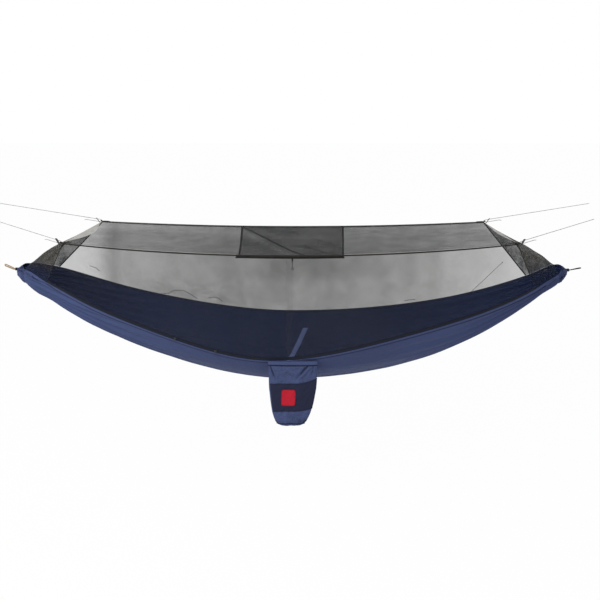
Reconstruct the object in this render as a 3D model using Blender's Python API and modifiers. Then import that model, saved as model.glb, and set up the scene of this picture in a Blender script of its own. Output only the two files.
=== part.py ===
# A gathered-end camping hammock with a sewn-in insect net, roof lines and a stuff sack.
# Metres, +Z up. X runs along the hammock to the right, Y goes away from the viewer.
# The origin is the middle of the left suspension eye, which holds the whole hammock.

import math

import bmesh
import bpy
from mathutils import Matrix, Vector

for old in list(bpy.data.objects):
    bpy.data.objects.remove(old, do_unlink=True)

# The span between the end knots, and the bed that hangs between them
knot_span = 2.86
bed_sag = 0.56
left_lift = 0.020
fold_depth = 0.005
cloth_thick = 0.0012
net_thick = 0.0008
tape_thick = 0.0020
hem_thick = 0.0024
hem_width = 0.016
clearance = 0.0003
seam_inset = 0.0010
end_seam_ease = 0.0010
net_lift = 0.0012
tape_lift = 0.0018

# How far short of the end knots the sewn edges and the flat cloth stop, along X
front_wall_stop = 0.205
back_wall_stop = 0.175
mid_gather_stop = 0.135
late_gather_stop = 0.095
sheet_stop = 0.060

# The roof of the net, carried by a front and a back ridge tape
roof_length = 2.124
roof_width = 0.730
roof_rise = 0.200
front_ridge_sag = 0.055
back_ridge_sag = 0.027
ridge_tape_height = 0.008
ridge_tape_drop = 0.0022

# The zip between the front rim and the front wall
lower_tape_height = 0.006
upper_tape_height = 0.009
strip_width = 0.032
strip_stop = 0.012
strip_ease = 0.0003

# The gear loft slung under the roof
loft_back_half = 0.276
loft_front_half = 0.246
loft_sag = 0.060
loft_edge_drop = 0.013
loft_edge_lift = 0.0022
loft_binding_width = 0.008
loft_band_half = 0.262
loft_band_height = 0.017
loft_band_drop = 0.0012

# The gathered ends, the whippings round them and the suspension eyes
gather_mouth_radius = 0.049
gather_neck_radius = 0.010
whipping_length = 0.017
whipping_radius = 0.0125
left_rope_radius = 0.0030
right_rope_radius = 0.0020
left_eye_reach = 0.056
left_eye_rise = 0.020
left_eye_half_width = 0.0064
right_eye_reach = 0.061
right_eye_rise = 0.010
right_eye_half_width = 0.0070

# The guy lines, and the tab, the runner and the knot on each of them
anchor_reach = 2.094
anchor_rise = 0.433
line_radius = 0.00125
bight_radius = 0.00635
front_left_line = 0.390
back_left_line = 0.570
front_right_line = 0.410
back_right_line = 0.540
tail_length = 0.085
tab_length = 0.010
tab_half_width = 0.005
tab_half_height = 0.0035
tab_thick = 0.0012
tab_standoff = 0.0045
runner_half_width = 0.0055
runner_half_height = 0.0120
runner_thick = 0.0050
runner_place = 0.012
runner_hole_radius = 0.00195
runner_corner = 0.003
guy_knot_radius = 0.0032
patch_length = 0.034
patch_width = 0.022
patch_inset = 0.002
patch_ease = 0.0003

# The hang tab and ring at the middle of the roof's front edge
ring_place = 0.012
hang_tab_height = 0.020
hang_tab_half_width = 0.0035
hang_tab_thick = 0.0020
hang_bar_height = 0.0020
hang_hole_radius = 0.00175
hang_cord_radius = 0.0010
hang_loop_radius = 0.00275
hang_cord_length = 0.022
hang_ring_radius = 0.0065
hang_ring_hole = 0.0045
hang_ring_half_thick = 0.0010
hang_inset = 0.012

# The zip sliders and their pulls
first_slider_place = 0.357
second_slider_place = 0.552
slider_half_length = 0.006
slider_half_height = 0.0055
slider_thick = 0.0016
slider_gap = 0.0004
bail_half_length = 0.0045
bail_height = 0.0051
bail_thick = 0.0014
bail_half_depth = 0.0012
pull_ring_radius = 0.0039
pull_ring_hole = 0.0025
pull_half_width = 0.0018
pull_length = 0.024
pull_half_thick = 0.0011

# The stuff sack that hangs from the middle of the front rim
sack_place = 0.015
sack_hem_height = 0.018
sack_hem_thick = 0.0016
sack_half_width = 0.1165
sack_half_depth = 0.0075
sack_wall = 0.0012
sack_drop = 0.001
band_top = 0.103
band_bottom = 0.243
sack_depth_below = 0.309
band_skin_gap = 0.0004
band_thick = 0.0010
band_edge = 0.008
label_half_width = 0.0335
label_half_height = 0.041
label_drop = 0.178
label_offset = 0.018
sack_lean = 0.012
label_thick = 0.0008

# The strap inside the bed and the tie cord at the back
strap_half_width = 0.015
strap_thick = 0.0014
strap_ease = 0.0012
strap_top_place = 0.073
strap_bottom_place = -0.070
tie_cord_radius = 0.0010
tie_foot_place = 0.988
tie_standoff = 0.0080
tie_toggle_radius = 0.0030
tie_clearance = 0.0018

# Counts, angles in degrees and plain shares
zip_steps = 24
centre_columns = 12
side_columns = 6
wall_rows = 5
fold_pitch = 20.0
seam_angle = 25.0
front_angle_middle = 49.8
low_share = 0.12
left_spread_share = 0.38
right_spread_share = 0.40
back_angle_middle = 53.0
strap_top_angle = 41.0
strap_bottom_angle = -2.0
tie_head_share = 0.955
tie_head_up_share = 0.29
gather_flutes = 9
sack_around = 24
sack_squareness = 2.6
sack_rows_share = (0.0, 0.08, 0.18, 0.28, 0.38, 0.48, 0.58, 0.68, 0.785, 0.86, 0.93, 0.975, 1.0)
sack_width_share = (0.99, 0.99, 0.985, 0.98, 0.965, 0.93, 0.895, 0.85, 0.79, 0.72, 0.64, 0.54, 0.38)
sack_swell_share = (1.0, 1.35, 1.70, 1.90, 1.95, 1.95, 1.90, 1.85, 1.75, 1.55, 1.20, 0.85, 0.50)

half_span = knot_span / 2
front_wall_reach = half_span - front_wall_stop
back_wall_reach = half_span - back_wall_stop
mid_gather_reach = half_span - mid_gather_stop
late_gather_reach = half_span - late_gather_stop
sheet_reach = half_span - sheet_stop
arc_radius = knot_span * knot_span / (8 * bed_sag) + bed_sag / 2
half_roof = roof_length / 2
half_width = roof_width / 2
shift = Vector((half_span + left_eye_reach, 0, -left_eye_rise))
axis_x = Vector((1, 0, 0))
axis_y = Vector((0, 1, 0))
axis_z = Vector((0, 0, 1))

body = bpy.data.collections.new("hammock_tent")
bpy.context.scene.collection.children.link(body)


def look(name, colour, rough, metal=0.0):
    material = bpy.data.materials.new(name + "_finish")
    material.use_nodes = True
    shader = material.node_tree.nodes["Principled BSDF"]
    shader.inputs["Base Color"].default_value = (*colour, 1.0)
    shader.inputs["Roughness"].default_value = rough
    shader.inputs["Metallic"].default_value = metal
    return material


navy = (0.075, 0.10, 0.19)
deep_navy = (0.020, 0.024, 0.045)
mesh_grey = (0.24, 0.235, 0.22)
dark_mesh = (0.075, 0.072, 0.068)
dark_trim = (0.03, 0.027, 0.024)
cord_grey = (0.45, 0.45, 0.44)
tan_rope = (0.42, 0.34, 0.25)
black_plastic = (0.02, 0.02, 0.022)
label_red = (0.55, 0.03, 0.05)
strap_blue = (0.12, 0.15, 0.27)


def keep(name, data, origin, colour, rough=0.8, metal=0.0):
    thing = bpy.data.objects.new(name, data)
    thing.location = origin
    data.materials.clear()
    data.materials.append(look(name, colour, rough, metal))
    body.objects.link(thing)
    return thing


def place(point):
    return Vector(point) + shift


def grid_mesh(name, rows, origin):
    points = [place(p) - origin for row in rows for p in row]
    wide = len(rows[0])
    faces = []
    for i in range(len(rows) - 1):
        for j in range(wide - 1):
            a = i * wide + j
            faces.append((a, a + 1, a + wide + 1, a + wide))
    data = bpy.data.meshes.new(name)
    data.from_pydata(points, [], faces)
    data.update()
    return data


def sheet(name, rows, thick, colour, origin=None, rough=0.85):
    home = shift if origin is None else origin
    thing = keep(name, grid_mesh(name, rows, home), home, colour, rough)
    solid = thing.modifiers.new("thickness", "SOLIDIFY")
    solid.thickness = thick
    solid.offset = 0
    solid.use_even_offset = True
    return thing


def tube(name, points, radius, colour, cyclic=False, origin=None, rough=0.7):
    home = shift if origin is None else origin
    data = bpy.data.curves.new(name, "CURVE")
    data.dimensions = "3D"
    data.bevel_depth = radius
    data.bevel_resolution = 2
    data.use_fill_caps = True
    spline = data.splines.new("POLY")
    spline.points.add(len(points) - 1)
    for spot, point in zip(spline.points, points):
        spot.co = (*(place(point) - home), 1)
    spline.use_cyclic_u = cyclic
    return keep(name, data, home, colour, rough)


def evaluated(thing):
    graph = bpy.context.evaluated_depsgraph_get()
    data = bpy.data.meshes.new_from_object(thing.evaluated_get(graph))
    bpy.data.objects.remove(thing, do_unlink=True)
    return data


# A flat outline with holes, given its thickness and turned into a mesh
def plate(name, outlines, half_thick):
    data = bpy.data.curves.new(name, "CURVE")
    data.dimensions = "2D"
    data.fill_mode = "BOTH"
    data.extrude = half_thick
    for outline in outlines:
        spline = data.splines.new("POLY")
        spline.points.add(len(outline) - 1)
        for spot, (u, v) in zip(spline.points, outline):
            spot.co = (u, v, 0, 1)
        spline.use_cyclic_u = True
    thing = bpy.data.objects.new(name, data)
    body.objects.link(thing)
    solid = evaluated(thing)
    shape = bmesh.new()
    shape.from_mesh(solid)
    bmesh.ops.remove_doubles(shape, verts=shape.verts, dist=clearance / 10)
    bmesh.ops.recalc_face_normals(shape, faces=shape.faces)
    shape.to_mesh(solid)
    shape.free()
    return solid


# A closed body drawn through rings of points, with a flat cap at each end
def loft(name, rings, origin):
    shape = bmesh.new()
    made = [[shape.verts.new(place(p) - origin) for p in ring] for ring in rings]
    around = len(rings[0])
    for first, second in zip(made, made[1:]):
        for k in range(around):
            m = (k + 1) % around
            shape.faces.new((first[k], first[m], second[m], second[k]))
    shape.faces.new(list(reversed(made[0])))
    shape.faces.new(made[-1])
    bmesh.ops.recalc_face_normals(shape, faces=shape.faces)
    data = bpy.data.meshes.new(name)
    shape.to_mesh(data)
    shape.free()
    return data


def ball(name, centre, size, colour, origin=None):
    home = shift if origin is None else origin
    shape = bmesh.new()
    bmesh.ops.create_uvsphere(shape, u_segments=10, v_segments=6, radius=1)
    for vert in shape.verts:
        vert.co = Vector((vert.co.x * size[0], vert.co.y * size[1], vert.co.z * size[2]))
        vert.co += place(centre) - home
    data = bpy.data.meshes.new(name)
    shape.to_mesh(data)
    shape.free()
    return keep(name, data, home, colour, 0.7)


def box_outline(u, v, centre_v=0.0):
    return [(-u, centre_v - v), (u, centre_v - v), (u, centre_v + v), (-u, centre_v + v)]


def circle_outline(radius, count, centre_v=0.0):
    turns = [2 * math.pi * k / count for k in range(count)]
    return [(radius * math.cos(t), centre_v + radius * math.sin(t)) for t in turns]


def round_outline(u, v, corner, steps=3):
    points = []
    for sign_u, sign_v, start in ((1, 1, 0), (-1, 1, 90), (-1, -1, 180), (1, -1, 270)):
        for k in range(steps + 1):
            turn = math.radians(start + 90 * k / steps)
            cu = sign_u * (u - corner)
            cv = sign_v * (v - corner)
            points.append((cu + corner * math.cos(turn), cv + corner * math.sin(turn)))
    return points


def frame_of(forward, up):
    x = forward.normalized()
    y = up.cross(x).normalized()
    z = x.cross(y)
    return Matrix((x, y, z)).transposed().to_4x4()


# The bed cloth: equal lengthwise threads make a body of revolution about the chord
def spindle(x):
    lift = left_lift * math.sin(math.radians(180) * x / half_span) ** 2 if x < 0 else 0
    return math.sqrt(arc_radius * arc_radius - x * x) - (arc_radius - bed_sag) - lift


def front_angle(x):
    t = abs(x) / half_span
    away = x / half_span + low_share
    spread = left_spread_share if away < 0 else right_spread_share
    rise = 14.5 * (1 - math.exp(-(away / spread) ** 2))
    curl = 49 * t ** 8 if x < 0 else 40 * t ** 20
    return math.radians(front_angle_middle + rise + curl)


def back_angle(x):
    t = abs(x) / half_span
    if x < 0:
        return math.radians(back_angle_middle + 17 * t ** 2 + 48 * t ** 8 + 74 * t ** 40)
    return math.radians(back_angle_middle + t ** 2 + 33 * t ** 8 + 200 * t ** 40)


def bed_point(x, angle, lift=0.0):
    t = abs(x) / half_span
    radius = spindle(x)
    depth = min(fold_depth * (0.3 + 0.7 * t * t), 0.03 * radius)
    wave = math.cos(math.radians(360) * math.degrees(angle) / fold_pitch)
    out = radius + depth * wave - lift
    return Vector((x, out * math.sin(angle), -out * math.cos(angle)))


def front_rim(x):
    return bed_point(x, -front_angle(x))


def back_rim(x):
    return bed_point(x, back_angle(x))


zip_stations = [front_wall_reach * (2 * k / zip_steps - 1) for k in range(zip_steps + 1)]
end_stations = [back_wall_reach, mid_gather_reach, late_gather_reach, sheet_reach]
stations = [-x for x in reversed(end_stations)] + zip_stations + end_stations


def bed_rows(low, high, columns):
    rows = []
    for x in stations:
        a = low(x)
        b = high(x)
        rows.append([bed_point(x, a + (b - a) * j / columns) for j in range(columns + 1)])
    return rows


def arc(length, x):
    return length / spindle(x)


def hem_foot(x):
    t = abs(x) / half_span
    return arc(hem_width + clearance + end_seam_ease * t ** 10, x)


seam = math.radians(seam_angle)
sheet("bed_centre_panel",
      bed_rows(lambda x: -seam + arc(clearance, x), lambda x: seam - arc(clearance, x), centre_columns),
      cloth_thick, navy)
sheet("bed_front_panel",
      bed_rows(lambda x: -front_angle(x) + hem_foot(x), lambda x: -seam, side_columns),
      cloth_thick, navy)
sheet("bed_back_panel",
      bed_rows(lambda x: seam, lambda x: back_angle(x) - hem_foot(x), side_columns),
      cloth_thick, navy)
sheet("rim_hem_front",
      bed_rows(lambda x: -front_angle(x), lambda x: -front_angle(x) + arc(hem_width, x), 1),
      hem_thick, navy)
sheet("rim_hem_back",
      bed_rows(lambda x: back_angle(x) - arc(hem_width, x), lambda x: back_angle(x), 1),
      hem_thick, navy)


# The roof and the two walls, each ruled between the rim and the roof's edge
def ridge_sag(side):
    return (front_ridge_sag + back_ridge_sag) / 2 + side * (back_ridge_sag - front_ridge_sag) / 2


def roof_point(x, side, drop=0.0):
    share = x / half_roof
    height = roof_rise - ridge_sag(side) * (1 - share * share) - drop
    return Vector((x, side * half_width, height))


def wall_point(bottom, top, distance):
    run = top - bottom
    return bottom + run * (distance / run.length)


def wall_strip(side, start, end, rows, columns=zip_steps, low_share=-1.0, high_share=1.0, lift=0.0):
    reach = front_wall_reach if side < 0 else back_wall_reach
    keep_in = 1 - seam_inset / half_roof
    shares = [x / front_wall_reach for x in zip_stations]
    grid = []
    for share in shares:
        s = share * keep_in
        if s < low_share or s > high_share:
            continue
        rim = front_rim(reach * s) if side < 0 else back_rim(reach * s)
        top = roof_point(half_roof * s, side)
        length = (top - rim).length
        out = Vector((0, side * lift, 0))
        line = []
        for j in range(rows + 1):
            a = start(length)
            b = end(length)
            line.append(wall_point(rim, top, a + (b - a) * j / rows) + out)
        grid.append(line)
    return grid


lower_top = tape_lift + lower_tape_height
upper_top = lower_top + clearance + upper_tape_height
ridge_bottom = ridge_tape_drop + ridge_tape_height

sheet("zip_tape_lower",
      wall_strip(-1, lambda n: tape_lift, lambda n: lower_top, 1),
      tape_thick, dark_trim)
sheet("zip_tape_upper",
      wall_strip(-1, lambda n: lower_top + clearance, lambda n: upper_top, 1),
      tape_thick, dark_trim)
sheet("front_net",
      wall_strip(-1, lambda n: upper_top + clearance, lambda n: n - ridge_bottom - clearance, wall_rows),
      net_thick, mesh_grey)
sheet("roof_tape_front",
      wall_strip(-1, lambda n: n - ridge_bottom, lambda n: n - ridge_tape_drop, 1),
      tape_thick, dark_trim)
sheet("back_net",
      wall_strip(1, lambda n: net_lift, lambda n: n - ridge_bottom - clearance, wall_rows),
      net_thick, mesh_grey)
sheet("roof_tape_back",
      wall_strip(1, lambda n: n - ridge_bottom, lambda n: n - ridge_tape_drop, 1),
      tape_thick, dark_trim)


# The pale doubled strip down the middle of the front wall
def strip_rows():
    step = 2 * (1 - seam_inset / half_roof) / zip_steps
    half = strip_width / 2
    away = net_thick + clearance + strip_ease
    rows = []
    for part in (-1, 0, 1):
        rim = front_rim(0).lerp(front_rim(part * step * front_wall_reach), half / (step * front_wall_reach))
        top = roof_point(0, -1).lerp(roof_point(part * step * half_roof, -1), half / (step * half_roof))
        length = (top - rim).length
        out = Vector((0, -away, 0))
        a = upper_top + strip_stop
        b = length - ridge_bottom - strip_stop
        rows.append([wall_point(rim, top, a + (b - a) * j / wall_rows) + out for j in range(wall_rows + 1)])
    return rows


sheet("centre_strip", strip_rows(), net_thick, mesh_grey)

roof_shares = [x / front_wall_reach for x in zip_stations]
roof_rows = []
for share in roof_shares:
    roof_rows.append([roof_point(share * half_roof, side) for side in (-1.0, -0.5, 0.0, 0.5, 1.0)])
sheet("roof_net", roof_rows, net_thick, mesh_grey)


# The end nets, ruled from the roof's short edge to the rim round the gathered end
def end_net(name, hand):
    path = [Vector(front_rim(hand * x)) for x in [front_wall_reach] + end_stations]
    path += [Vector(back_rim(hand * x)) for x in reversed(end_stations)]
    lengths = [0.0]
    for first, second in zip(path, path[1:]):
        lengths.append(lengths[-1] + (second - first).length)
    inset = seam_inset / half_width
    rows = []
    for point, length in zip(path, lengths):
        share = length / lengths[-1]
        share = inset + share * (1 - 2 * inset)
        top = roof_point(hand * half_roof, 2 * share - 1)
        run = (top - point).length
        a = net_lift + seam_inset
        b = run - seam_inset
        rows.append([wall_point(point, top, a + (b - a) * j / wall_rows) for j in range(wall_rows + 1)])
    rows[0] = [p + axis_x * hand * seam_inset for p in rows[0]]
    rows[-1] = [p + axis_x * hand * seam_inset for p in rows[-1]]
    sheet(name, rows, net_thick, mesh_grey)


end_net("end_net_left", -1)
end_net("end_net_right", 1)


# The gear loft: a net hammock under the roof, open at its two sides
tape_inner = half_width - tape_thick / 2 - clearance
loft_front_y = -(tape_inner - tape_thick - clearance)
loft_back_y = tape_inner - net_thick / 2


def loft_point(across, side_share, extra=0.0):
    y = loft_front_y + (loft_back_y - loft_front_y) * side_share
    side = y / half_width
    half = loft_front_half + (loft_back_half - loft_front_half) * side_share + extra
    x = across * half
    share = x / half_roof
    height = roof_rise - ridge_sag(side) * (1 - share * share) - loft_edge_drop * (1 - side_share)
    height -= loft_edge_lift + loft_sag * 4 * side_share * (1 - side_share)
    return Vector((x, y, height))


loft_shares = [k / 8 for k in range(9)]
sheet("loft_net",
      [[loft_point(across, v) for v in loft_shares] for across in (-1, -2 / 3, -1 / 3, 0, 1 / 3, 2 / 3, 1)],
      net_thick, dark_mesh)
sheet("loft_binding_left",
      [[loft_point(-1, v, extra) for v in loft_shares] for extra in (clearance, clearance + loft_binding_width)],
      tape_thick, dark_trim)
sheet("loft_binding_right",
      [[loft_point(1, v, extra) for v in loft_shares] for extra in (clearance, clearance + loft_binding_width)],
      tape_thick, dark_trim)
band_rows = []
for k in range(9):
    x = loft_band_half * (k / 4 - 1)
    y = -(tape_inner - tape_thick / 2)
    top = roof_point(x, -1, loft_band_drop)
    band_rows.append([Vector((x, y, top.z - loft_band_height * j)) for j in (0, 1)])
sheet("loft_band", band_rows, tape_thick, dark_trim)


# The gathered ends and the whippings that close them
def gather(name, hand):
    rings = []
    mouth = sheet_reach + hem_thick / 2 + clearance
    neck = half_span - whipping_length / 2
    for share in (0.0, 0.3, 0.6, 0.85, 1.0):
        x = mouth + (neck - mouth) * share
        size = gather_neck_radius + (gather_mouth_radius - gather_neck_radius) * (1 - share) ** 1.15
        ring = []
        for k in range(2 * gather_flutes):
            flute = 1 + 0.13 * (1 if k % 2 else -1)
            turn = math.pi * k / gather_flutes
            ring.append((hand * x, size * flute * math.cos(turn), size * flute * math.sin(turn)))
        rings.append(ring)
    keep(name, loft(name, rings, shift), shift, navy, 0.85)


def whipping(name, hand):
    rings = []
    start = half_span - whipping_length / 2 + clearance
    for share, size in ((0.0, 0.80), (0.15, 1.0), (0.38, 0.92), (0.5, 1.0), (0.62, 0.92), (0.85, 1.0), (1.0, 0.72)):
        x = start + share * whipping_length
        turns = [2 * math.pi * k / 14 for k in range(14)]
        radius = whipping_radius * size
        rings.append([(hand * x, radius * math.cos(t), radius * math.sin(t)) for t in turns])
    keep(name, loft(name, rings, shift), shift, deep_navy, 0.7)
    return start + whipping_length


gather("gather_left", -1)
gather("gather_right", 1)
left_face = whipping("whipping_left", -1)
right_face = whipping("whipping_right", 1)


# The rope eyes: a closed loop that widens away from the whipping
def eye(name, hand, face, reach, rise, half, rope, flat, colour):
    near = face + clearance + rope
    far = half_span + reach
    points = []
    steps = 9
    for k in range(steps):
        turn = -math.pi / 2 + math.pi * k / (steps - 1)
        points.append((far + half * math.cos(turn), half * math.sin(turn)))
    points.append((near + rope, rope + clearance))
    points.append((near, 0))
    points.append((near + rope, -rope - clearance))
    out = []
    for x, wide in points:
        climb = rise * (x - near) / (far - near)
        if flat:
            out.append((hand * x, wide, climb))
        else:
            out.append((hand * x, 0, climb + wide))
    tube(name, out, rope, colour, cyclic=True)


eye("suspension_loop_left", -1, left_face, left_eye_reach, left_eye_rise, left_eye_half_width,
    left_rope_radius, False, tan_rope)
eye("suspension_loop_right", 1, right_face, right_eye_reach, right_eye_rise, right_eye_half_width,
    right_rope_radius, True, dark_trim)


# One corner of the roof: its webbing tab, its patch, and the guy line with runner and knot
def corner(tag, hand, side, length):
    point = roof_point(hand * half_roof, side)
    anchor = Vector((hand * anchor_reach, 0, anchor_rise))
    along = (anchor - point).normalized()
    turn = frame_of(along, axis_z)
    base = tab_standoff + tab_thick + tab_length
    centre = point + along * base
    home = Matrix.Translation(place(centre)) @ turn

    outer_end = bight_radius - line_radius - 2 * tab_thick - clearance
    tab_centre = -(tab_length + outer_end) / 2
    tab_half = (tab_length - outer_end) / 2
    outline = [(u + tab_centre, v) for u, v in round_outline(tab_half + tab_thick, tab_half_width, 2 * tab_thick)]
    hole = [(u + tab_centre, v) for u, v in round_outline(tab_half, tab_half_width - tab_thick, tab_thick)]
    data = plate("corner_tab_" + tag, [outline, hole], tab_half_height)
    data.transform(turn)
    keep("corner_tab_" + tag, data, place(centre), dark_trim, 0.8)

    rows = []
    x_far = half_roof - patch_inset
    y_far = half_width - patch_inset
    for u in (0, 0.5, 1):
        line = []
        for v in (0, 1):
            spot = roof_point(hand * (x_far - patch_length * u), side * (y_far - patch_width * v) / half_width)
            line.append(spot + axis_z * (net_thick / 2 + tape_thick / 2 + clearance + patch_ease))
        rows.append(line)
    sheet("corner_patch_" + tag, rows, tape_thick, dark_trim)

    route = [(tail_length, 0, -bight_radius)]
    route.append((0, 0, -bight_radius))
    for k in range(1, 8):
        a = -math.pi / 2 - math.pi * k / 8
        route.append((bight_radius * math.cos(a), 0, bight_radius * math.sin(a)))
    route.append((0, 0, bight_radius))
    route.append((length, 0, bight_radius))
    points = [centre + (turn @ Vector(p)) for p in route]
    tube("guy_line_" + tag, points, line_radius, cord_grey)
    end = centre + turn @ Vector((length + guy_knot_radius + clearance, 0, bight_radius))
    ball("guy_knot_" + tag, end, (guy_knot_radius, guy_knot_radius, guy_knot_radius), cord_grey)

    outline = round_outline(runner_half_width, runner_half_height, runner_corner)
    holes = [circle_outline(runner_hole_radius, 12, bight_radius),
             circle_outline(runner_hole_radius, 12, -bight_radius)]
    data = plate("line_runner_" + tag, [outline] + holes, runner_thick / 2)
    stand = Matrix(((0, 0, 1, 0), (1, 0, 0, 0), (0, 1, 0, 0), (0, 0, 0, 1)))
    slant = Matrix(((1, 0, 1, 0), (0, 1, 0, 0), (0, 0, 1, 0), (0, 0, 0, 1)))
    data.transform(turn @ slant @ stand)
    spot = centre + along * runner_place
    keep("line_runner_" + tag, data, place(spot), black_plastic, 0.45)


corner("fl", -1, -1, front_left_line)
corner("bl", -1, 1, back_left_line)
corner("fr", 1, -1, front_right_line)
corner("br", 1, 1, back_right_line)

# The hang tab below the loft's front edge, with a short cord and a ring on it
hang_y = loft_front_y + hang_inset
hang_share = hang_inset / (loft_back_y - loft_front_y)
hang_top = loft_point(ring_place / loft_front_half, hang_share).z
tab_top = hang_top - net_thick / 2 - 2 * clearance
bar_z = tab_top - hang_tab_height + hang_bar_height / 2
hang_axis = place((ring_place, hang_y, bar_z))
hole_up = hang_bar_height / 2 + hang_hole_radius
data = plate("hang_tab", [
    box_outline(hang_tab_half_width, hang_tab_height / 2, (hang_tab_height - hang_bar_height) / 2),
    circle_outline(hang_hole_radius, 12, hole_up)], hang_tab_thick / 2)
data.transform(Matrix(((1, 0, 0, 0), (0, 0, -1, 0), (0, 1, 0, 0), (0, 0, 0, 1))))
keep("hang_tab", data, hang_axis, dark_trim, 0.8)
foot_z = bar_z - hang_loop_radius - hang_cord_length
hang_route = [(ring_place, hang_y, foot_z)]
for k in range(13):
    a = math.radians(-90 + 305 * k / 12)
    hang_route.append((ring_place, hang_y + hang_loop_radius * math.cos(a), bar_z + hang_loop_radius * math.sin(a)))
tube("hang_cord", hang_route, hang_cord_radius, dark_trim, origin=hang_axis)
ring_z = foot_z - clearance - hang_ring_radius
data = plate("hang_ring", [circle_outline(hang_ring_radius, 20), circle_outline(hang_ring_hole, 20)],
             hang_ring_half_thick)
data.transform(Matrix.Rotation(math.radians(90), 4, "X"))
data.transform(Matrix.Translation(place((ring_place, hang_y, ring_z)) - hang_axis))
keep("hang_ring", data, hang_axis, black_plastic, 0.4)


# A zip slider with its bail, and the pull that swings on the bail
def slider(tag, x):
    here = front_rim(x)
    step = front_wall_reach / zip_steps
    tangent = (front_rim(x + step) - front_rim(x - step)).normalized()
    top = roof_point(half_roof * x / front_wall_reach, -1)
    up = (top - here).normalized()
    out = tangent.cross(up).normalized()
    up = out.cross(tangent)
    face = here + up * (lower_top + clearance / 2) + out * (tape_thick / 2 + slider_gap)
    turn = Matrix((tangent, up, out)).transposed().to_4x4()
    centre = face + out * (slider_thick / 2)
    flat = plate("slider_plate", [round_outline(slider_half_length, slider_half_height, slider_thick)],
                 slider_thick / 2)
    arch_mid = bail_height / 2
    arch = plate("slider_bail", [
        box_outline(bail_half_length, bail_height / 2 + slider_thick / 2, arch_mid),
        box_outline(bail_half_length - bail_thick, (bail_height - bail_thick) / 2, arch_mid - bail_thick / 2 + slider_thick / 2)],
        bail_half_depth)
    arch.transform(Matrix(((1, 0, 0, 0), (0, 0, 1, 0), (0, 1, 0, 0), (0, 0, 0, 1))))
    base = bpy.data.objects.new("slider_base", flat)
    tool = bpy.data.objects.new("slider_tool", arch)
    body.objects.link(base)
    body.objects.link(tool)
    join = base.modifiers.new("bail", "BOOLEAN")
    join.operation = "UNION"
    join.solver = "EXACT"
    join.object = tool
    solid = evaluated(base)
    bpy.data.objects.remove(tool, do_unlink=True)
    solid.transform(turn)
    keep("zip_slider_" + tag, solid, place(centre), black_plastic, 0.4, 0.0)

    bar = centre + out * (arch_mid + bail_height / 2 + slider_thick / 2 - bail_thick / 2)
    side = tangent
    down = (-axis_z + side * axis_z.dot(side)).normalized()
    forward = down.cross(side)
    pull_turn = Matrix((forward, down, side)).transposed().to_4x4()
    ring = []
    open_angle = math.asin(pull_half_width / pull_ring_radius)
    steps = 14
    for k in range(steps + 1):
        a = math.pi / 2 + open_angle + (2 * math.pi - 2 * open_angle) * k / steps
        ring.append((pull_ring_radius * math.cos(a), pull_ring_radius * math.sin(a)))
    ring.append((pull_half_width, pull_length - pull_half_width))
    ring.append((pull_half_width / 2, pull_length))
    ring.append((-pull_half_width / 2, pull_length))
    ring.append((-pull_half_width, pull_length - pull_half_width))
    data = plate("zip_pull_" + tag, [ring, circle_outline(pull_ring_hole, 14)], pull_half_thick)
    data.transform(pull_turn)
    keep("zip_pull_" + tag, data, place(bar), black_plastic, 0.4)


slider("a", -first_slider_place)
slider("b", -second_slider_place)

# The stuff sack, open at its top, with hem, dark band and plain label
rim_middle = front_rim(sack_place)
rim_lean = hem_thick / 2 * math.sin(front_angle(sack_place))
sack_y = rim_middle.y - rim_lean - clearance - sack_half_depth - sack_hem_thick / 2
sack_top = rim_middle.z - sack_drop
bag_top = sack_top - sack_hem_height - clearance
sack_home = place((sack_place, sack_y, sack_top))


def sack_middle(z):
    share = max(bag_top - z, 0.0) / sack_depth_below
    return sack_place - sack_lean * share * share


def sack_ring(half_w, half_d, z, count, begin=0.0, sweep=360.0, closed=True):
    points = []
    total = count if closed else count + 1
    for k in range(total):
        a = math.radians(begin + sweep * k / count)
        c = math.cos(a)
        s = math.sin(a)
        u = math.copysign(abs(c) ** (2 / sack_squareness), c)
        v = math.copysign(abs(s) ** (2 / sack_squareness), s)
        points.append(Vector((sack_middle(z) + half_w * u, sack_y - half_d * v, z)))
    return points


def sack_shares(drop):
    share = min(max(drop / sack_depth_below, 0.0), 1.0)
    for k in range(len(sack_rows_share) - 1):
        low = sack_rows_share[k]
        high = sack_rows_share[k + 1]
        if share <= high:
            mix = (share - low) / (high - low)
            width = sack_width_share[k] + (sack_width_share[k + 1] - sack_width_share[k]) * mix
            swell = sack_swell_share[k] + (sack_swell_share[k + 1] - sack_swell_share[k]) * mix
            return width, swell
    return sack_width_share[-1], sack_swell_share[-1]


def closed_sheet(name, rings, thick, colour, origin, cap):
    around = len(rings[0])
    points = [place(p) - origin for ring in rings for p in ring]
    faces = []
    for i in range(len(rings) - 1):
        for j in range(around):
            m = (j + 1) % around
            faces.append((i * around + j, i * around + m, (i + 1) * around + m, (i + 1) * around + j))
    if cap:
        last = (len(rings) - 1) * around
        faces.append(tuple(last + j for j in range(around)))
    data = bpy.data.meshes.new(name)
    data.from_pydata(points, [], faces)
    data.update()
    thing = keep(name, data, origin, colour, 0.85)
    solid = thing.modifiers.new("thickness", "SOLIDIFY")
    solid.thickness = thick
    solid.offset = 0
    solid.use_even_offset = True
    return thing


closed_sheet("sack_hem",
             [sack_ring(sack_half_width, sack_half_depth, sack_top, sack_around),
              sack_ring(sack_half_width, sack_half_depth, sack_top - sack_hem_height, sack_around)],
             sack_hem_thick, navy, sack_home, False)
bag = []
for share, width, swell in zip(sack_rows_share, sack_width_share, sack_swell_share):
    bag.append(sack_ring(sack_half_width * width, sack_half_depth * swell,
                         bag_top - sack_depth_below * share, sack_around))
closed_sheet("sack_body", bag, sack_wall, navy, sack_home, True)

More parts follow.
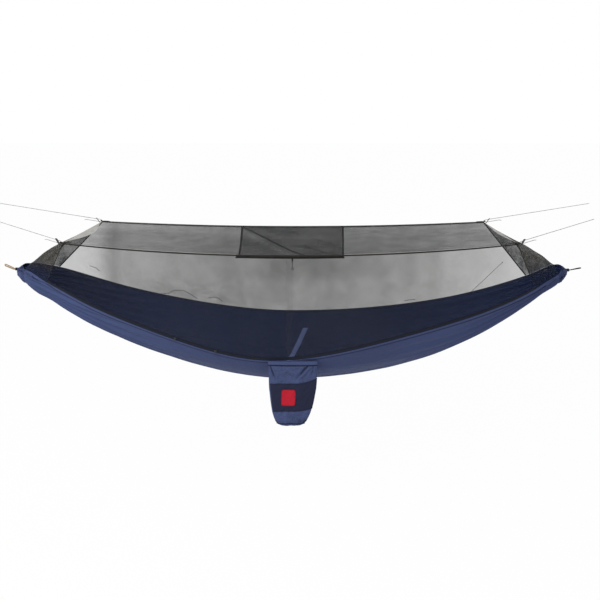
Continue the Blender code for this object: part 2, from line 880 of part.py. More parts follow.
skin = sack_wall / 2 + band_skin_gap + band_thick / 2
band = []
band_drops = [sack_depth_below * share for share in sack_rows_share]
band_low = band_top - sack_hem_height
band_high = band_bottom - sack_hem_height
band_drops = [drop for drop in band_drops if band_low + band_edge < drop < band_high - band_edge]
for drop in [band_low] + band_drops + [band_high]:
    width, swell = sack_shares(drop)
    band.append(sack_ring(sack_half_width * width + skin, sack_half_depth * swell + skin * 1.25,
                          bag_top - drop, 10, 15.0, 150.0, False))
sheet("sack_band", band, band_thick, deep_navy, sack_home)


# The plain red label is a rounded rectangle laid on the band
def label_point(u, v):
    drop = label_drop - sack_hem_height - v
    width, swell = sack_shares(drop)
    half_w = sack_half_width * width + skin
    half_d = sack_half_depth * swell + skin * 1.25
    across = min(abs(u) / half_w, 1.0)
    depth = half_d * (1 - across ** sack_squareness) ** (1 / sack_squareness)
    lift = band_thick / 2 + band_skin_gap + label_thick
    return Vector((sack_middle(bag_top - drop) + u, sack_y - depth - lift, bag_top - drop))


edge = round_outline(label_half_width, label_half_height, label_half_width / 3, 3)
points = [label_point(-label_offset, 0)]
for scale_share in (0.5, 1.0):
    points += [label_point(u * scale_share - label_offset, v * scale_share) for u, v in edge]
count = len(edge)
faces = [(0, 1 + k, 1 + (k + 1) % count) for k in range(count)]
faces += [(1 + k, 1 + count + k, 1 + count + (k + 1) % count, 1 + (k + 1) % count) for k in range(count)]
data = bpy.data.meshes.new("sack_label")
data.from_pydata([place(p) - sack_home for p in points], [], faces)
data.update()
label = keep("sack_label", data, sack_home, label_red, 0.6)
solid = label.modifiers.new("thickness", "SOLIDIFY")
solid.thickness = label_thick
solid.offset = 0

# The strap that lies inside the bed, and the tie cord from the back rim to the net
strap = []
strap_lift = fold_depth * 0.3 + cloth_thick / 2 + strap_thick / 2 + clearance + strap_ease
for k in range(9):
    share = k / 8
    angle = math.radians(strap_top_angle + (strap_bottom_angle - strap_top_angle) * share)
    x = strap_top_place + (strap_bottom_place - strap_top_place) * share
    row = []
    for part in (-1, 1):
        spot = x + part * strap_half_width
        flat = spindle(spot) - strap_lift
        row.append(Vector((spot, flat * math.sin(angle), -flat * math.cos(angle))))
    strap.append(row)
sheet("inner_strap", strap, strap_thick, strap_blue)

foot_angle = back_angle(tie_foot_place) - arc(hem_width / 2, tie_foot_place)
foot = bed_point(tie_foot_place, foot_angle)
inward = Vector((0, -foot.y, -foot.z)).normalized()
foot = foot + inward * (hem_thick / 2 + tie_cord_radius + tie_clearance)
head_rim = back_rim(back_wall_reach * tie_head_share)
head_top = roof_point(half_roof * tie_head_share, 1)
head = wall_point(head_rim, head_top, (head_top - head_rim).length * tie_head_up_share)
head = head - axis_y * tie_standoff
run = (head - foot).normalized()
tube("tie_cord", [foot, head], tie_cord_radius, dark_trim)
ball("tie_toggle", head + run * (tie_toggle_radius + clearance),
     (tie_toggle_radius, tie_toggle_radius, tie_toggle_radius), dark_trim)
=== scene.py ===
# The hammock tent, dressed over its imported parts.
# Metres, in the parts' own frame: +X along the hammock, +Y away from the viewer, +Z up.

from math import atan2, copysign, cos, degrees, exp, hypot, pi, radians, sin, sqrt, tau

import bmesh
import bpy
from mathutils import Matrix, Vector, noise


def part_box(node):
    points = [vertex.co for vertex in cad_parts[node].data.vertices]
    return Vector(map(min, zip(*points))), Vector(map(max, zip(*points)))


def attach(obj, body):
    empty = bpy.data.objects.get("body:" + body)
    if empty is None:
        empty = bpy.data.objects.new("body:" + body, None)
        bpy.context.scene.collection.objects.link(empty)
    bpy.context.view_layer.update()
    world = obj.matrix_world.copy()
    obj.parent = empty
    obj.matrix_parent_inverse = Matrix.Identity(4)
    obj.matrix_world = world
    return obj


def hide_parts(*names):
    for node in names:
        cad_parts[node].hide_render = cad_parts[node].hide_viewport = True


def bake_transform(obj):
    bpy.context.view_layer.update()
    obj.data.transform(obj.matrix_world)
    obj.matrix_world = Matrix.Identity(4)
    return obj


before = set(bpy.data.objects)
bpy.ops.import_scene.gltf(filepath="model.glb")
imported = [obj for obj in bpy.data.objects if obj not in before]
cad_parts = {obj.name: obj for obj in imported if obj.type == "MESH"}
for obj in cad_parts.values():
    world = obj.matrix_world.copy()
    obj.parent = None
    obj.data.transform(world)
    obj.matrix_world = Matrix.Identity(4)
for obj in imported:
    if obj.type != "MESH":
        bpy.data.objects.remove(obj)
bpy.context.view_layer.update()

# The bed between its end knots
knot_span = 2.86
bed_sag = 0.56
left_lift = 0.020
fold_depth = 0.005
fold_pitch = 20.0
hem_width = 0.016
front_wall_stop = 0.205
back_wall_stop = 0.175
sheet_stop = 0.060
seam_angle = 25.0
seam_inset = 0.0010
clearance = 0.0003
bed_rows = 220
cloth_thick = 0.0010
hem_sheet_thick = 0.0018
seam_width = 0.010
seam_thick = 0.0006
seam_lift = 0.0009
seam_swell = 0.0004
# A thin dark strip along each hem's edge is a painted shadow
edge_width = 0.0030
edge_thick = 0.0005
edge_lift = 0.0014

# Sizes and shares of thread, fold and net in the finishes
stitch_share = 0.62
stitch_half_width = 0.00055
stitch_depth = 0.0004
fold_cover_share = 0.45
net_fade_reach = 1.25
net_pitch = 0.0014
loft_pitch = 0.0022

# The roof and its tapes
roof_length = 2.124
roof_width = 0.730
roof_rise = 0.200
front_ridge_sag = 0.055
back_ridge_sag = 0.027
ridge_tape_height = 0.008
ridge_tape_drop = 0.0022
tape_thick = 0.0020
tape_sheet_thick = 0.0012
binding_thick = 0.0016
webbing_bevel = 0.00035
doubled_lift = 0.0012
front_seam_radius = 0.0018
back_seam_radius = 0.0032

# The zip along the front rim
tape_lift = 0.0018
lower_tape_height = 0.006
upper_tape_height = 0.009
strip_width = 0.032
strip_stop = 0.012
strip_lift = 0.0012
net_tuck = 0.002
billow_size = 0.006
pleat_inset = 0.0015
pleat_radius = 0.0024
tooth_pitch = 0.0030
tooth_size = (0.0017, 0.0030, 0.0021)
tooth_stagger = 0.0004
slider_bevel = 0.0003
pull_bevel = 0.0005

# The gear loft
loft_back_half = 0.276
loft_front_half = 0.246
loft_sag = 0.060
loft_edge_drop = 0.013
loft_edge_lift = 0.0022
loft_binding_width = 0.011
loft_band_half = 0.252
loft_band_height = 0.017

# The ends: gathered cloth, whippings and rope eyes
gather_start = 0.016
gather_lift = 0.0016
neck_inset = 0.0025
neck_radius = 0.0062
whipping_length = 0.017
whipping_inset = 0.0016
whipping_pitch = 0.0024
whipping_radius = 0.0071
whipping_cord_radius = 0.0013
left_eye_reach = 0.056
left_eye_rise = 0.020
left_rope_radius = 0.0030
right_eye_reach = 0.061
right_eye_rise = 0.010
right_rope_radius = 0.0020

# The guy lines
anchor_reach = 2.094
anchor_rise = 0.433
line_radius = 0.00125
bight_radius = 0.00635
tail_length = 0.085
tab_base = 0.0157
patch_length = 0.034
patch_width = 0.022
patch_inset = 0.002
patch_lift = 0.0020
patch_swell = 0.0004
knot_gap = 0.0035
knot_size = 0.00075
knot_strand = 0.0011
tail_droop = 0.003
runner_bevel = 0.0006
line_lengths = {"fl": 0.390, "bl": 0.570, "fr": 0.410, "br": 0.540}
hands = {"fl": (-1, -1), "bl": (-1, 1), "fr": (1, -1), "br": (1, 1)}
ends = {"left": -1, "right": 1}

# The hang cord, the tie cord and the strap
ring_place = 0.012
hang_inset = 0.012
hang_cord_radius = 0.0010
hang_loop_radius = 0.00275
hang_loop_turn = 305
hang_cord_length = 0.022
tab_bar_lift = 0.0010
tab_bevel = 0.0003
ring_bevel = 0.0004
toggle_bevel = 0.0003
tie_cord_radius = 0.0010
tie_foot_place = 0.988
tie_head_share = 0.955
tie_head_up_share = 0.29
tie_standoff = 0.0080
tie_clearance = 0.0018
hem_thick = 0.0024
strap_half_width = 0.015
strap_top_place = 0.073
strap_bottom_place = -0.070
strap_top_angle = 41.0
strap_bottom_angle = -2.0
strap_lift = 0.0022
strap_swell = 0.0006
strap_thick = 0.0013

# The stuff sack
sack_place = 0.015
sack_hem_height = 0.018
sack_hem_thick = 0.0016
sack_half_width = 0.1165
sack_half_depth = 0.0075
sack_drop = 0.001
sack_depth_below = 0.309
sack_squareness = 2.6
band_top = 0.103
band_bottom = 0.243
label_half_width = 0.0335
label_half_height = 0.041
label_drop = 0.178
label_offset = 0.018
label_lift = 0.0028
label_edge_lift = 0.0018
border_lift = 0.0022
border_radius = 0.0017
cover_skin = 0.0014
sack_hem_inset = 0.0010
sack_hem_cloth_thick = 0.0014
band_thick = 0.0008
thread_thick = 0.0006
sack_lean = 0.012
sack_creases = ((1.0, (-0.108, 0.000), (-0.081, 0.070), 0.0055),
                (1.0, (0.084, -0.006), (0.021, 0.064), 0.0065),
                (0.5, (0.100, 0.006), (0.092, 0.050), 0.0050),
                (0.4, (-0.030, 0.030), (0.030, 0.068), 0.0100))
sack_rows_share = (0.0, 0.08, 0.18, 0.28, 0.38, 0.48, 0.58, 0.68, 0.785, 0.86, 0.93, 0.975, 1.0)
sack_width_share = (0.99, 0.99, 0.985, 0.98, 0.965, 0.93, 0.895, 0.85, 0.79, 0.72, 0.64, 0.54, 0.38)
sack_swell_share = (1.0, 1.35, 1.70, 1.90, 1.95, 1.95, 1.90, 1.85, 1.75, 1.55, 1.20, 0.85, 0.50)

half_span = knot_span / 2
arc_radius = knot_span * knot_span / (8 * bed_sag) + bed_sag / 2
front_wall_reach = half_span - front_wall_stop
back_wall_reach = half_span - back_wall_stop
sheet_reach = half_span - sheet_stop
half_roof = roof_length / 2
half_width = roof_width / 2
shift = Vector((half_span + left_eye_reach, 0, -left_eye_rise))
lower_top = tape_lift + lower_tape_height
upper_top = lower_top + clearance + upper_tape_height
ridge_bottom = ridge_tape_drop + ridge_tape_height


def place(point):
    return Vector(point) + shift


def add(thing):
    bpy.context.scene.collection.objects.link(thing)


def noise_at(x, y, z):
    return noise.noise(Vector((x, y, z)))


def ease(low, high, value):
    share = min(max((value - low) / (high - low), 0.0), 1.0)
    return share * share * (3 - 2 * share)


def shares(count):
    return [k / count for k in range(count + 1)]


# Which stretch of a rising table holds a value, and how far along it the value lies
def stretch(places, want):
    k = 0
    while k < len(places) - 2 and places[k + 1] < want:
        k += 1
    run = places[k + 1] - places[k]
    return k, (want - places[k]) / run if run else 0.0


# The camera stands where the photograph's did
camera_data = bpy.data.cameras.new("camera")
camera_data.lens = 45.7
camera = bpy.data.objects.new("camera", camera_data)
camera.location = (1.5666, -3.8772, 0.7855)
camera.rotation_euler = (radians(90 - 14.03), 0, 0.0092)
add(camera)
bpy.context.scene.camera = camera


# One tree of shader nodes, with the kinds of node that the finishes need
class Nodes:
    def __init__(self, owner):
        owner.use_nodes = True
        self.tree = owner.node_tree

    def link(self, source, spot):
        self.tree.links.new(source, spot)

    def node(self, kind, **settings):
        made = self.tree.nodes.new("ShaderNode" + kind)
        for key, value in settings.items():
            setattr(made, key, value)
        return made

    def maths(self, kind, *values, clamp=False):
        made = self.node("Math", operation=kind, use_clamp=clamp)
        for spot, value in zip(made.inputs, values):
            if isinstance(value, (int, float)):
                spot.default_value = value
            else:
                self.link(value, spot)
        return made.outputs[0]

    def most(self, first, second):
        return self.maths("MAXIMUM", first, second)

    def scaled(self, value, by, plus, clamp=False):
        return self.maths("MULTIPLY_ADD", value, by, plus, clamp=clamp)

    def axis(self, source, letter):
        parts = self.node("SeparateXYZ")
        self.link(source, parts.inputs[0])
        return parts.outputs[letter]

    def noise(self, scale, source, **inputs):
        made = self.node("TexNoise")
        self.link(source, made.inputs["Vector"])
        for key, value in {"Scale": scale, **inputs}.items():
            made.inputs[key].default_value = value
        return made.outputs["Fac"]

    def waves(self, spacing, source, direction):
        made = self.node("TexWave", bands_direction=direction)
        made.inputs["Scale"].default_value = tau / (20 * spacing)
        self.link(source, made.inputs["Vector"])
        return made.outputs["Fac"]

    def crossed(self, spacing, source, directions):
        threads = self.waves(spacing, source, directions[0])
        for direction in directions[1:]:
            threads = self.most(threads, self.waves(spacing, source, direction))
        return threads

    def mix(self, amount, first, second):
        made = self.node("Mix", data_type="RGBA")
        for key, value in ((0, amount), (6, first), (7, second)):
            if isinstance(value, tuple):
                made.inputs[key].default_value = (*value, 1.0)
            else:
                self.link(value, made.inputs[key])
        return made.outputs[2]

    def bump(self, height, depth, strength, before=None):
        made = self.node("Bump")
        made.inputs["Strength"].default_value = strength
        made.inputs["Distance"].default_value = depth
        self.link(height, made.inputs["Height"])
        if before is not None:
            self.link(before, made.inputs["Normal"])
        return made.outputs["Normal"]

    def fold(self):
        return self.node("Attribute", attribute_name="fold").outputs["Fac"]


def shaded(colour, share):
    return tuple(min(c * share, 1.0) for c in colour)


# Where a dashed row of thread shows, on rows at set distances from the edge
def stitches(n, spot, rows, pitch):
    dash = n.maths("LESS_THAN", n.maths("FRACT", n.maths("DIVIDE", n.axis(spot, "X"), pitch)), stitch_share)
    mask = None
    for row in rows:
        off = n.maths("ABSOLUTE", n.maths("SUBTRACT", n.axis(spot, "Y"), row))
        near = n.maths("LESS_THAN", off, stitch_half_width)
        mask = near if mask is None else n.most(mask, near)
    return n.maths("MULTIPLY", mask, dash)


# How much the netting covers: slanted threads, clouded, denser in folds and thinner away from the middle
def net_cover(n, solid, spot, patches, cloud, veil, drift, folds, middle):
    gap, thread, spacing, opening = veil
    turn = n.node("Mapping")
    turn.inputs["Rotation"].default_value = (0, 0, radians(45))
    n.link(spot, turn.inputs["Vector"])
    cover = n.scaled(n.crossed(spacing, turn.outputs["Vector"], "XY"), thread - gap, gap)
    streaks = n.noise(cloud * 3.5, solid, Distortion=1.2)
    cover = n.maths("MULTIPLY", cover, n.scaled(n.maths("ADD", patches, streaks), drift, 1 - drift))
    if folds:
        cover = n.scaled(n.fold(), fold_cover_share, cover, clamp=True)
    if opening:
        away = n.maths("ABSOLUTE", n.maths("SUBTRACT", n.axis(solid, "X"), shift.x + middle))
        away = n.maths("POWER", n.maths("DIVIDE", away, net_fade_reach), 1.8)
        cover = n.maths("MULTIPLY", cover, n.scaled(away, -opening, 1.0))
    return cover


# Materials. Flat cloth reads its own length and width in metres, other pieces their place. A weave and
# a crinkle are a size and a depth, a fleck a size and a colour, stitches their rows, pitch and colour.
def finish(name, colour, rough, flat=True, weave=None, crinkle=None, shade=0.10, cloud=4.0, gloss=0.12,
           veil=None, fleck=None, stitch=None, middle=0.0, drift=0.30, low=None, folds=False):
    material = bpy.data.materials.new(name)
    n = Nodes(material)
    shader = n.tree.nodes["Principled BSDF"]
    shader.inputs["Specular IOR Level"].default_value = gloss
    solid = n.node("TexCoord").outputs["Object"]
    spot = n.node("UVMap", uv_map="cloth").outputs["UV"] if flat else solid
    patches = n.noise(cloud, solid)
    patchy = n.scaled(patches, 2.0, -0.5, clamp=True)
    skin = n.mix(patchy, shaded(colour, 1 - shade), shaded(colour, 1 + shade))
    n.link(n.scaled(patches, 0.16, rough - 0.08), shader.inputs["Roughness"])
    normal = None
    if weave is not None:
        spacing, depth = weave
        threads = n.crossed(spacing, spot, "XY" if flat else "XYZ")
        normal = n.bump(threads, depth, 0.6)
        skin = n.mix(threads, shaded(colour, 0.8), skin)
    if crinkle is not None:
        size, depth = crinkle
        normal = n.bump(n.noise(1 / size, solid, Detail=5.0, Distortion=0.6), depth, 0.8, normal)
    if stitch is not None:
        rows, pitch, thread = stitch
        mask = stitches(n, spot, rows, pitch)
        skin = n.mix(mask, skin, thread)
        normal = n.bump(mask, stitch_depth, 0.9, normal)
    if fleck is not None:
        size, dark = fleck
        skin = n.mix(n.maths("GREATER_THAN", n.noise(1 / size, solid), 0.56), skin, dark)
    if veil is not None:
        n.link(net_cover(n, solid, spot, patches, cloud, veil, drift, folds, middle), shader.inputs["Alpha"])
    if low is not None:
        skin = n.mix(n.scaled(n.axis(solid, "Z"), 14.0, 0.2, clamp=True), low, skin)
    # Painted shade: cloth darkens where its fold mark is deep
    if folds and veil is None:
        skin = n.mix(n.fold(), skin, shaded(colour, 0.16))
    n.link(skin, shader.inputs["Base Color"])
    if normal is not None:
        n.link(normal, shader.inputs["Normal"])
    return material


# Net covers so much in its gaps and on its threads, and opens that much away from the middle
def netting(name, colour, gap, thread, opening, pitch=net_pitch, **looks):
    return finish(name, colour, 0.85, veil=(gap, thread, pitch, opening), **looks)


navy = (0.058, 0.078, 0.175)
thread_navy = (0.030, 0.038, 0.085)
mesh_thread = (0.016, 0.017, 0.018)
dark_webbing = (0.026, 0.023, 0.019)
cloth_weave = (0.0012, 0.00012)
sack_weave = (0.0011, 0.00012)
tape_weave = (0.0008, 0.00015)

cloth = finish("navy_cloth", navy, 0.62, weave=cloth_weave, crinkle=(0.045, 0.0060), cloud=3.0, gloss=0.05)
# This cloth, the gathered cloth and the sack cloth take painted shade in their marked folds
inner_cloth = finish("navy_inside", (0.050, 0.076, 0.210), 0.7, weave=cloth_weave, crinkle=(0.035, 0.0030),
                     cloud=3.0, folds=True)
hem_cloth = finish("navy_hem", navy, 0.62, weave=cloth_weave, crinkle=(0.020, 0.0020),
                   stitch=((0.0025, 0.0125), 0.0042, thread_navy))
# Painted shadow along the hems' edges
hem_shadow_cloth = finish("hem_edge", (0.016, 0.020, 0.050), 0.7, weave=cloth_weave)
gather_cloth = finish("gathered_cloth", navy, 0.62, weave=cloth_weave, crinkle=(0.012, 0.0020), shade=0.2,
                      folds=True)
sack_cloth = finish("sack_cloth", navy, 0.6, weave=sack_weave, crinkle=(0.016, 0.0100), shade=0.2, cloud=16.0,
                    folds=True)
band_cloth = finish("sack_band_cloth", (0.018, 0.021, 0.048), 0.6, weave=sack_weave, crinkle=(0.022, 0.0020))
wall_mesh = netting("wall_netting", mesh_thread, 0.32, 0.62, 0.48, cloud=2.4, shade=0.3, middle=-0.07)
roof_mesh = netting("roof_netting", mesh_thread, 0.535, 0.875, 0.20, cloud=2.4, shade=0.3, middle=0.30)
# The back wall's net is the front wall's net, with its threads painted lighter and warmer: painted light
lit_back_mesh = netting("lit_back_netting", (0.075, 0.066, 0.040), 0.32, 0.62, 0.48, cloud=2.4, shade=0.3,
                    middle=-0.07, folds=True)
end_mesh = netting("end_netting", (0.014, 0.012, 0.007), 0.56, 0.88, 0.0, cloud=9.0, shade=0.3, drift=0.55,
                   low=(0.010, 0.014, 0.032))
loft_mesh = netting("loft_netting", (0.030, 0.028, 0.025), 0.45, 0.72, 0.0, pitch=loft_pitch, cloud=5.0,
                    shade=0.3, folds=True)
pale_mesh = netting("doubled_netting", (0.57, 0.56, 0.53), 0.62, 0.92, 0.0, cloud=9.0)
pleat_net = netting("pleated_netting", (0.022, 0.020, 0.016), 0.22, 0.40, 0.0, flat=False, cloud=30.0)
strip_mesh = netting("strip_netting", (0.06, 0.058, 0.062), 0.04, 0.10, 0.0, cloud=5.0)
webbing = finish("dark_webbing", dark_webbing, 0.75, weave=tape_weave, shade=0.25, cloud=40.0)
seam_tape = finish("seam_binding", dark_webbing, 0.75, flat=False, weave=tape_weave, shade=0.25, cloud=40.0,
                   low=(0.012, 0.015, 0.034))
pale_webbing = finish("mesh_webbing", (0.25, 0.24, 0.215), 0.75, weave=tape_weave, shade=0.2, cloud=40.0)
solid_webbing = finish("tab_webbing", (0.030, 0.026, 0.020), 0.75, flat=False, weave=tape_weave, shade=0.25,
                       cloud=60.0)
zip_cloth = finish("zip_tape", (0.008, 0.010, 0.020), 0.7, weave=(0.0007, 0.00012), shade=0.2, cloud=30.0,
                   stitch=((0.0035,), 0.0036, (0.022, 0.024, 0.036)))
teeth_plastic = finish("zip_teeth", (0.010, 0.010, 0.012), 0.5, flat=False, shade=0.2, cloud=200.0, gloss=0.3)
hard_black = finish("black_plastic", (0.014, 0.014, 0.015), 0.42, flat=False, shade=0.2, cloud=90.0,
                    gloss=0.5, crinkle=(0.0012, 0.00006))
line_cord = finish("guy_cord", (0.34, 0.34, 0.33), 0.7, flat=False, weave=(0.0016, 0.0002), shade=0.12,
                   cloud=60.0, fleck=(0.022, (0.17, 0.17, 0.17)))
tan_cord = finish("tan_rope", (0.38, 0.28, 0.18), 0.8, flat=False, shade=0.2, cloud=160.0,
                  crinkle=(0.0008, 0.0002))
dark_cord = finish("dark_cord", (0.022, 0.022, 0.026), 0.7, flat=False, shade=0.25, cloud=120.0,
                   crinkle=(0.0008, 0.0002))
strap_cloth = finish("strap_webbing", (0.34, 0.44, 0.95), 0.65, weave=(0.0013, 0.0002), cloud=12.0,
                     stitch=((0.0022, 0.0228), 0.004, (0.17, 0.22, 0.52)))
label_red = finish("label_face", (0.50, 0.014, 0.032), 0.6, weave=(0.0009, 0.0001), shade=0.08, cloud=60.0)
border_red = finish("label_border", (0.38, 0.010, 0.022), 0.55, flat=False, weave=(0.0012, 0.0003),
                    shade=0.15, cloud=200.0)


# Making pieces. A piece that stands in for a node of the part is named after it.
def new_object(name, data, material):
    title = name + "_dressed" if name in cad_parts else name
    thing = bpy.data.objects.new(title, data)
    data.materials.clear()
    data.materials.append(material)
    add(thing)
    return thing


def mesh_of(name, spots, faces):
    data = bpy.data.meshes.new(name)
    data.from_pydata(spots, [], faces)
    data.shade_smooth()
    return data


# Lays a mesh's cloth out flat, by a place for each of its points
def lay_out(data, flat_place):
    layer = data.uv_layers.new(name="cloth")
    for loop in data.loops:
        layer.data[loop.index].uv = flat_place(loop.vertex_index)


def settle(thing):
    graph = bpy.context.evaluated_depsgraph_get()
    data = bpy.data.meshes.new_from_object(thing.evaluated_get(graph))
    thing.modifiers.clear()
    thing.data = data
    return thing


def spacing_of(points):
    total = [0.0]
    for first, second in zip(points, points[1:]):
        total.append(total[-1] + (second - first).length)
    return total


# A sheet, from a function that gives a point for each share along and across
def grid(name, along, across, point, material, thick=0.0, closed=False, under=None):
    rows = [[place(point(u, v)) for v in shares(across)] for u in shares(along)]
    wide = across + 1
    faces = []
    for i in range(along):
        for j in range(across):
            a = i * wide + j
            faces.append((a, a + wide, a + wide + 1, a + 1))
    data = mesh_of(name, [p for row in rows for p in row], faces)
    us = spacing_of([row[across // 2] for row in rows])
    vs = spacing_of(rows[along // 2])
    lay_out(data, lambda k: (us[k // wide], vs[k % wide]))
    thing = new_object(name, data, material)
    if closed:
        weld = thing.modifiers.new("weld", "WELD")
        weld.merge_threshold = clearance / 10
    if thick:
        skin = thing.modifiers.new("thickness", "SOLIDIFY")
        skin.thickness = thick
        skin.offset = 0
        if under is not None:
            data.materials.append(under)
            skin.material_offset = 1
    if closed or thick:
        settle(thing)
    return thing


# How deep each point lies in a fold: on cloth it darkens the colour as painted shade, on netting it thickens
# the cover
def mark_folds(thing, depth):
    layer = thing.data.attributes.new("fold", "FLOAT", "POINT")
    for spot, vertex in zip(layer.data, thing.data.vertices):
        spot.value = min(max(depth(vertex.co - shift), -1.0), 1.0)
    return thing


# A closed tube along a smoothed path, plain or braided
def tube(name, points, radius, material, around=12, cyclic=False, braid=0.0, strands=4, pitch=0.01):
    spots = [place(p) for p in points]
    if cyclic:
        spots.append(spots[0])
    lengths = spacing_of(spots)
    step = radius * 0.55 if braid else radius * 1.5
    count = max(int(lengths[-1] / step), 4)
    path = []
    for i in range(count + 1):
        k, share = stretch(lengths, lengths[-1] * i / count)
        path.append(spots[k].lerp(spots[k + 1], share))
    for smoothing in range(3):
        ends = path[0], path[-1]
        path = [path[max(i - 1, 0)] * 0.25 + p * 0.5 + path[min(i + 1, count)] * 0.25
                for i, p in enumerate(path)]
        if not cyclic:
            path[0], path[-1] = ends
    points_out = []
    side = None
    for i, p in enumerate(path):
        after = (i + 1) % count if cyclic else min(i + 1, count)
        before = (i - 1 if i else -2) if cyclic else max(i - 1, 0)
        ahead = (path[after] - path[before]).normalized()
        if side is None:
            side = ahead.orthogonal().normalized()
        side = (side - ahead * side.dot(ahead)).normalized()
        other = ahead.cross(side)
        for j in range(around):
            a = tau * j / around
            size = radius
            if braid:
                lay = tau * lengths[-1] * i / count / pitch
                ridge = max(abs(sin(strands / 2 * a + lay)), abs(sin(strands / 2 * a - lay)))
                size *= 1 - braid + braid * ridge
            points_out.append(p + side * (size * cos(a)) + other * (size * sin(a)))
    rings = count if cyclic else count + 1
    faces = []
    for i in range(rings if cyclic else rings - 1):
        m = (i + 1) % rings
        for j in range(around):
            n = (j + 1) % around
            faces.append((i * around + j, i * around + n, m * around + n, m * around + j))
    if not cyclic:
        faces.append(tuple(reversed(range(around))))
        faces.append(tuple(range((rings - 1) * around, rings * around)))
    return new_object(name, mesh_of(name, points_out[:rings * around], faces), material)


def cord_curve(name, points, radius, material):
    data = bpy.data.curves.new(name, "CURVE")
    data.dimensions = "3D"
    data.bevel_depth = radius
    data.bevel_resolution = 3
    data.use_fill_caps = True
    spline = data.splines.new("POLY")
    spline.points.add(len(points) - 1)
    for spot, point in zip(spline.points, points):
        spot.co = (*place(point), 1)
    spline.use_smooth = True
    return new_object(name, data, material)


# A node's own solid with its edges rounded
def refined(name, material, bevel, rounds=0):
    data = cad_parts[name].data.copy()
    data.name = name
    shape = bmesh.new()
    shape.from_mesh(data)
    bmesh.ops.remove_doubles(shape, verts=shape.verts, dist=clearance / 100)
    bmesh.ops.dissolve_limit(shape, angle_limit=radians(1), verts=shape.verts, edges=shape.edges)
    shape.to_mesh(data)
    shape.free()
    thing = new_object(name, data, material)
    edge = thing.modifiers.new("edges", "BEVEL")
    edge.width = bevel
    edge.segments = 3
    edge.limit_method = "ANGLE"
    edge.angle_limit = radians(35)
    edge.harden_normals = True
    if rounds:
        soft = thing.modifiers.new("soft", "SUBSURF")
        soft.levels = rounds
        soft.render_levels = rounds
    settle(thing)
    thing.data.shade_smooth()
    return thing


# A piece stands in for the part's node of the same name, where there is one
def dress(thing):
    node = thing.name.removesuffix("_dressed")
    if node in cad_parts:
        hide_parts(node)
    return thing


def ride(thing, body):
    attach(thing, body)
    return dress(thing)


# Net that is sewn to the roof above and to the rims below is baked where it lies, on neither body
def sway(thing):
    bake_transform(thing)
    return dress(thing)


# The bed's surface. Its mean radius follows an arc of a circle, a little less to the left.
def spindle(x):
    lift = left_lift * sin(pi * x / half_span) ** 2 if x < 0 else 0
    return sqrt(arc_radius * arc_radius - x * x) - (arc_radius - bed_sag) - lift


# Where the two rims run, as angles from straight down
def front_angle(x):
    t = abs(x) / half_span
    away = x / half_span + 0.12
    rise = 14.5 * (1 - exp(-(away / (0.38 if away < 0 else 0.40)) ** 2))
    curl = 49 * t ** 8 if x < 0 else 40 * t ** 20
    return radians(49.8 + rise + curl)


def back_angle(x):
    t = abs(x) / half_span
    if x < 0:
        return radians(53.0 + 17 * t ** 2 + 48 * t ** 8 + 74 * t ** 40)
    return radians(53.0 + t ** 2 + 33 * t ** 8 + 200 * t ** 40)


# Long pleats towards the ends, and small ripples, none of them at the rims
def ruck(x, angle, radius):
    t = abs(x) / half_span
    from_rim = min(angle + front_angle(x), back_angle(x) - angle)
    inside = ease(0.0, radians(10), from_rim)
    drift = noise_at(x * 2.2, angle * 1.5, 4.0)
    pleat = min(0.0080 * ease(0.22, 0.80, t), 0.075 * radius)
    pleat *= cos(tau * degrees(angle) / 9.0 + 5 * drift)
    ripple = 0.0035 * noise_at(x * 1.6 + 7, angle * 6.5, 1.0) * ease(0.0, 0.12, radius)
    fine = 0.0012 * noise_at(x * 9, angle * 22, 2.0) * ease(0.0, 0.12, radius)
    return inside * (pleat + ripple + fine)


# The cloth bunches up a little below each knot
def bunch(x):
    return 0.026 * ease(1.22, 1.36, -x) + 0.022 * ease(1.28, 1.38, x)


def bed_point(x, angle, lift=0.0):
    t = abs(x) / half_span
    radius = spindle(x)
    depth = min(fold_depth * (0.3 + 0.7 * t * t), 0.03 * radius)
    wave = cos(tau * degrees(angle) / fold_pitch)
    out = radius + depth * wave + ruck(x, angle, radius) - lift + bunch(x) * max(cos(angle), 0.0)
    return Vector((x, out * sin(angle), -out * cos(angle)))


def front_rim(x):
    return bed_point(x, -front_angle(x))


def back_rim(x):
    return bed_point(x, back_angle(x))


def arc(length, x):
    return length / spindle(x)


def along_bed(u):
    return sheet_reach * sin(radians(90) * (2 * u - 1)) * 0.35 + sheet_reach * (2 * u - 1) * 0.65


# The roof, its edges and the walls below them
def roof_point(x, side, drop=0.0):
    share = x / half_roof
    sag = (front_ridge_sag + back_ridge_sag) / 2 + side * (back_ridge_sag - front_ridge_sag) / 2
    height = roof_rise - sag * (1 - share * share) - drop
    return Vector((x, side * half_width, height))


# A wall is straight from the rim to the roof's edge. Side is -1 in front and 1 behind.
def wall_ends(side, share):
    s = share * (1 - seam_inset / half_roof)
    rim = front_rim(front_wall_reach * s) if side < 0 else back_rim(back_wall_reach * s)
    return rim, roof_point(half_roof * s, side)


def wall_at(side, share, distance):
    rim, top = wall_ends(side, share)
    return rim + (top - rim) * (distance / (top - rim).length)


def wall_length(side, share):
    rim, top = wall_ends(side, share)
    return (top - rim).length


# A tape along a wall, between two distances up the wall, which may depend on its length there
def strip(name, side, low, high, material):
    def point(u, v):
        share = 2 * u - 1
        length = wall_length(side, share)
        return wall_at(side, share, low(length) + (high(length) - low(length)) * v)
    return grid(name, 120, 4, point, material, tape_sheet_thick)


# The guy lines come first, each with its bight round the tab, its tail and its knot
def frame_of(forward, up):
    x = forward.normalized()
    y = up.cross(x).normalized()
    return Matrix((x, y, x.cross(y))).transposed()


def trefoil(centre, turn, size):
    points = []
    for k in range(36):
        a = tau * k / 36
        x = sin(a) + 2 * sin(2 * a)
        y = cos(a) - 2 * cos(2 * a)
        points.append(centre + turn @ (Vector((x, y, -sin(3 * a))) * size))
    return points


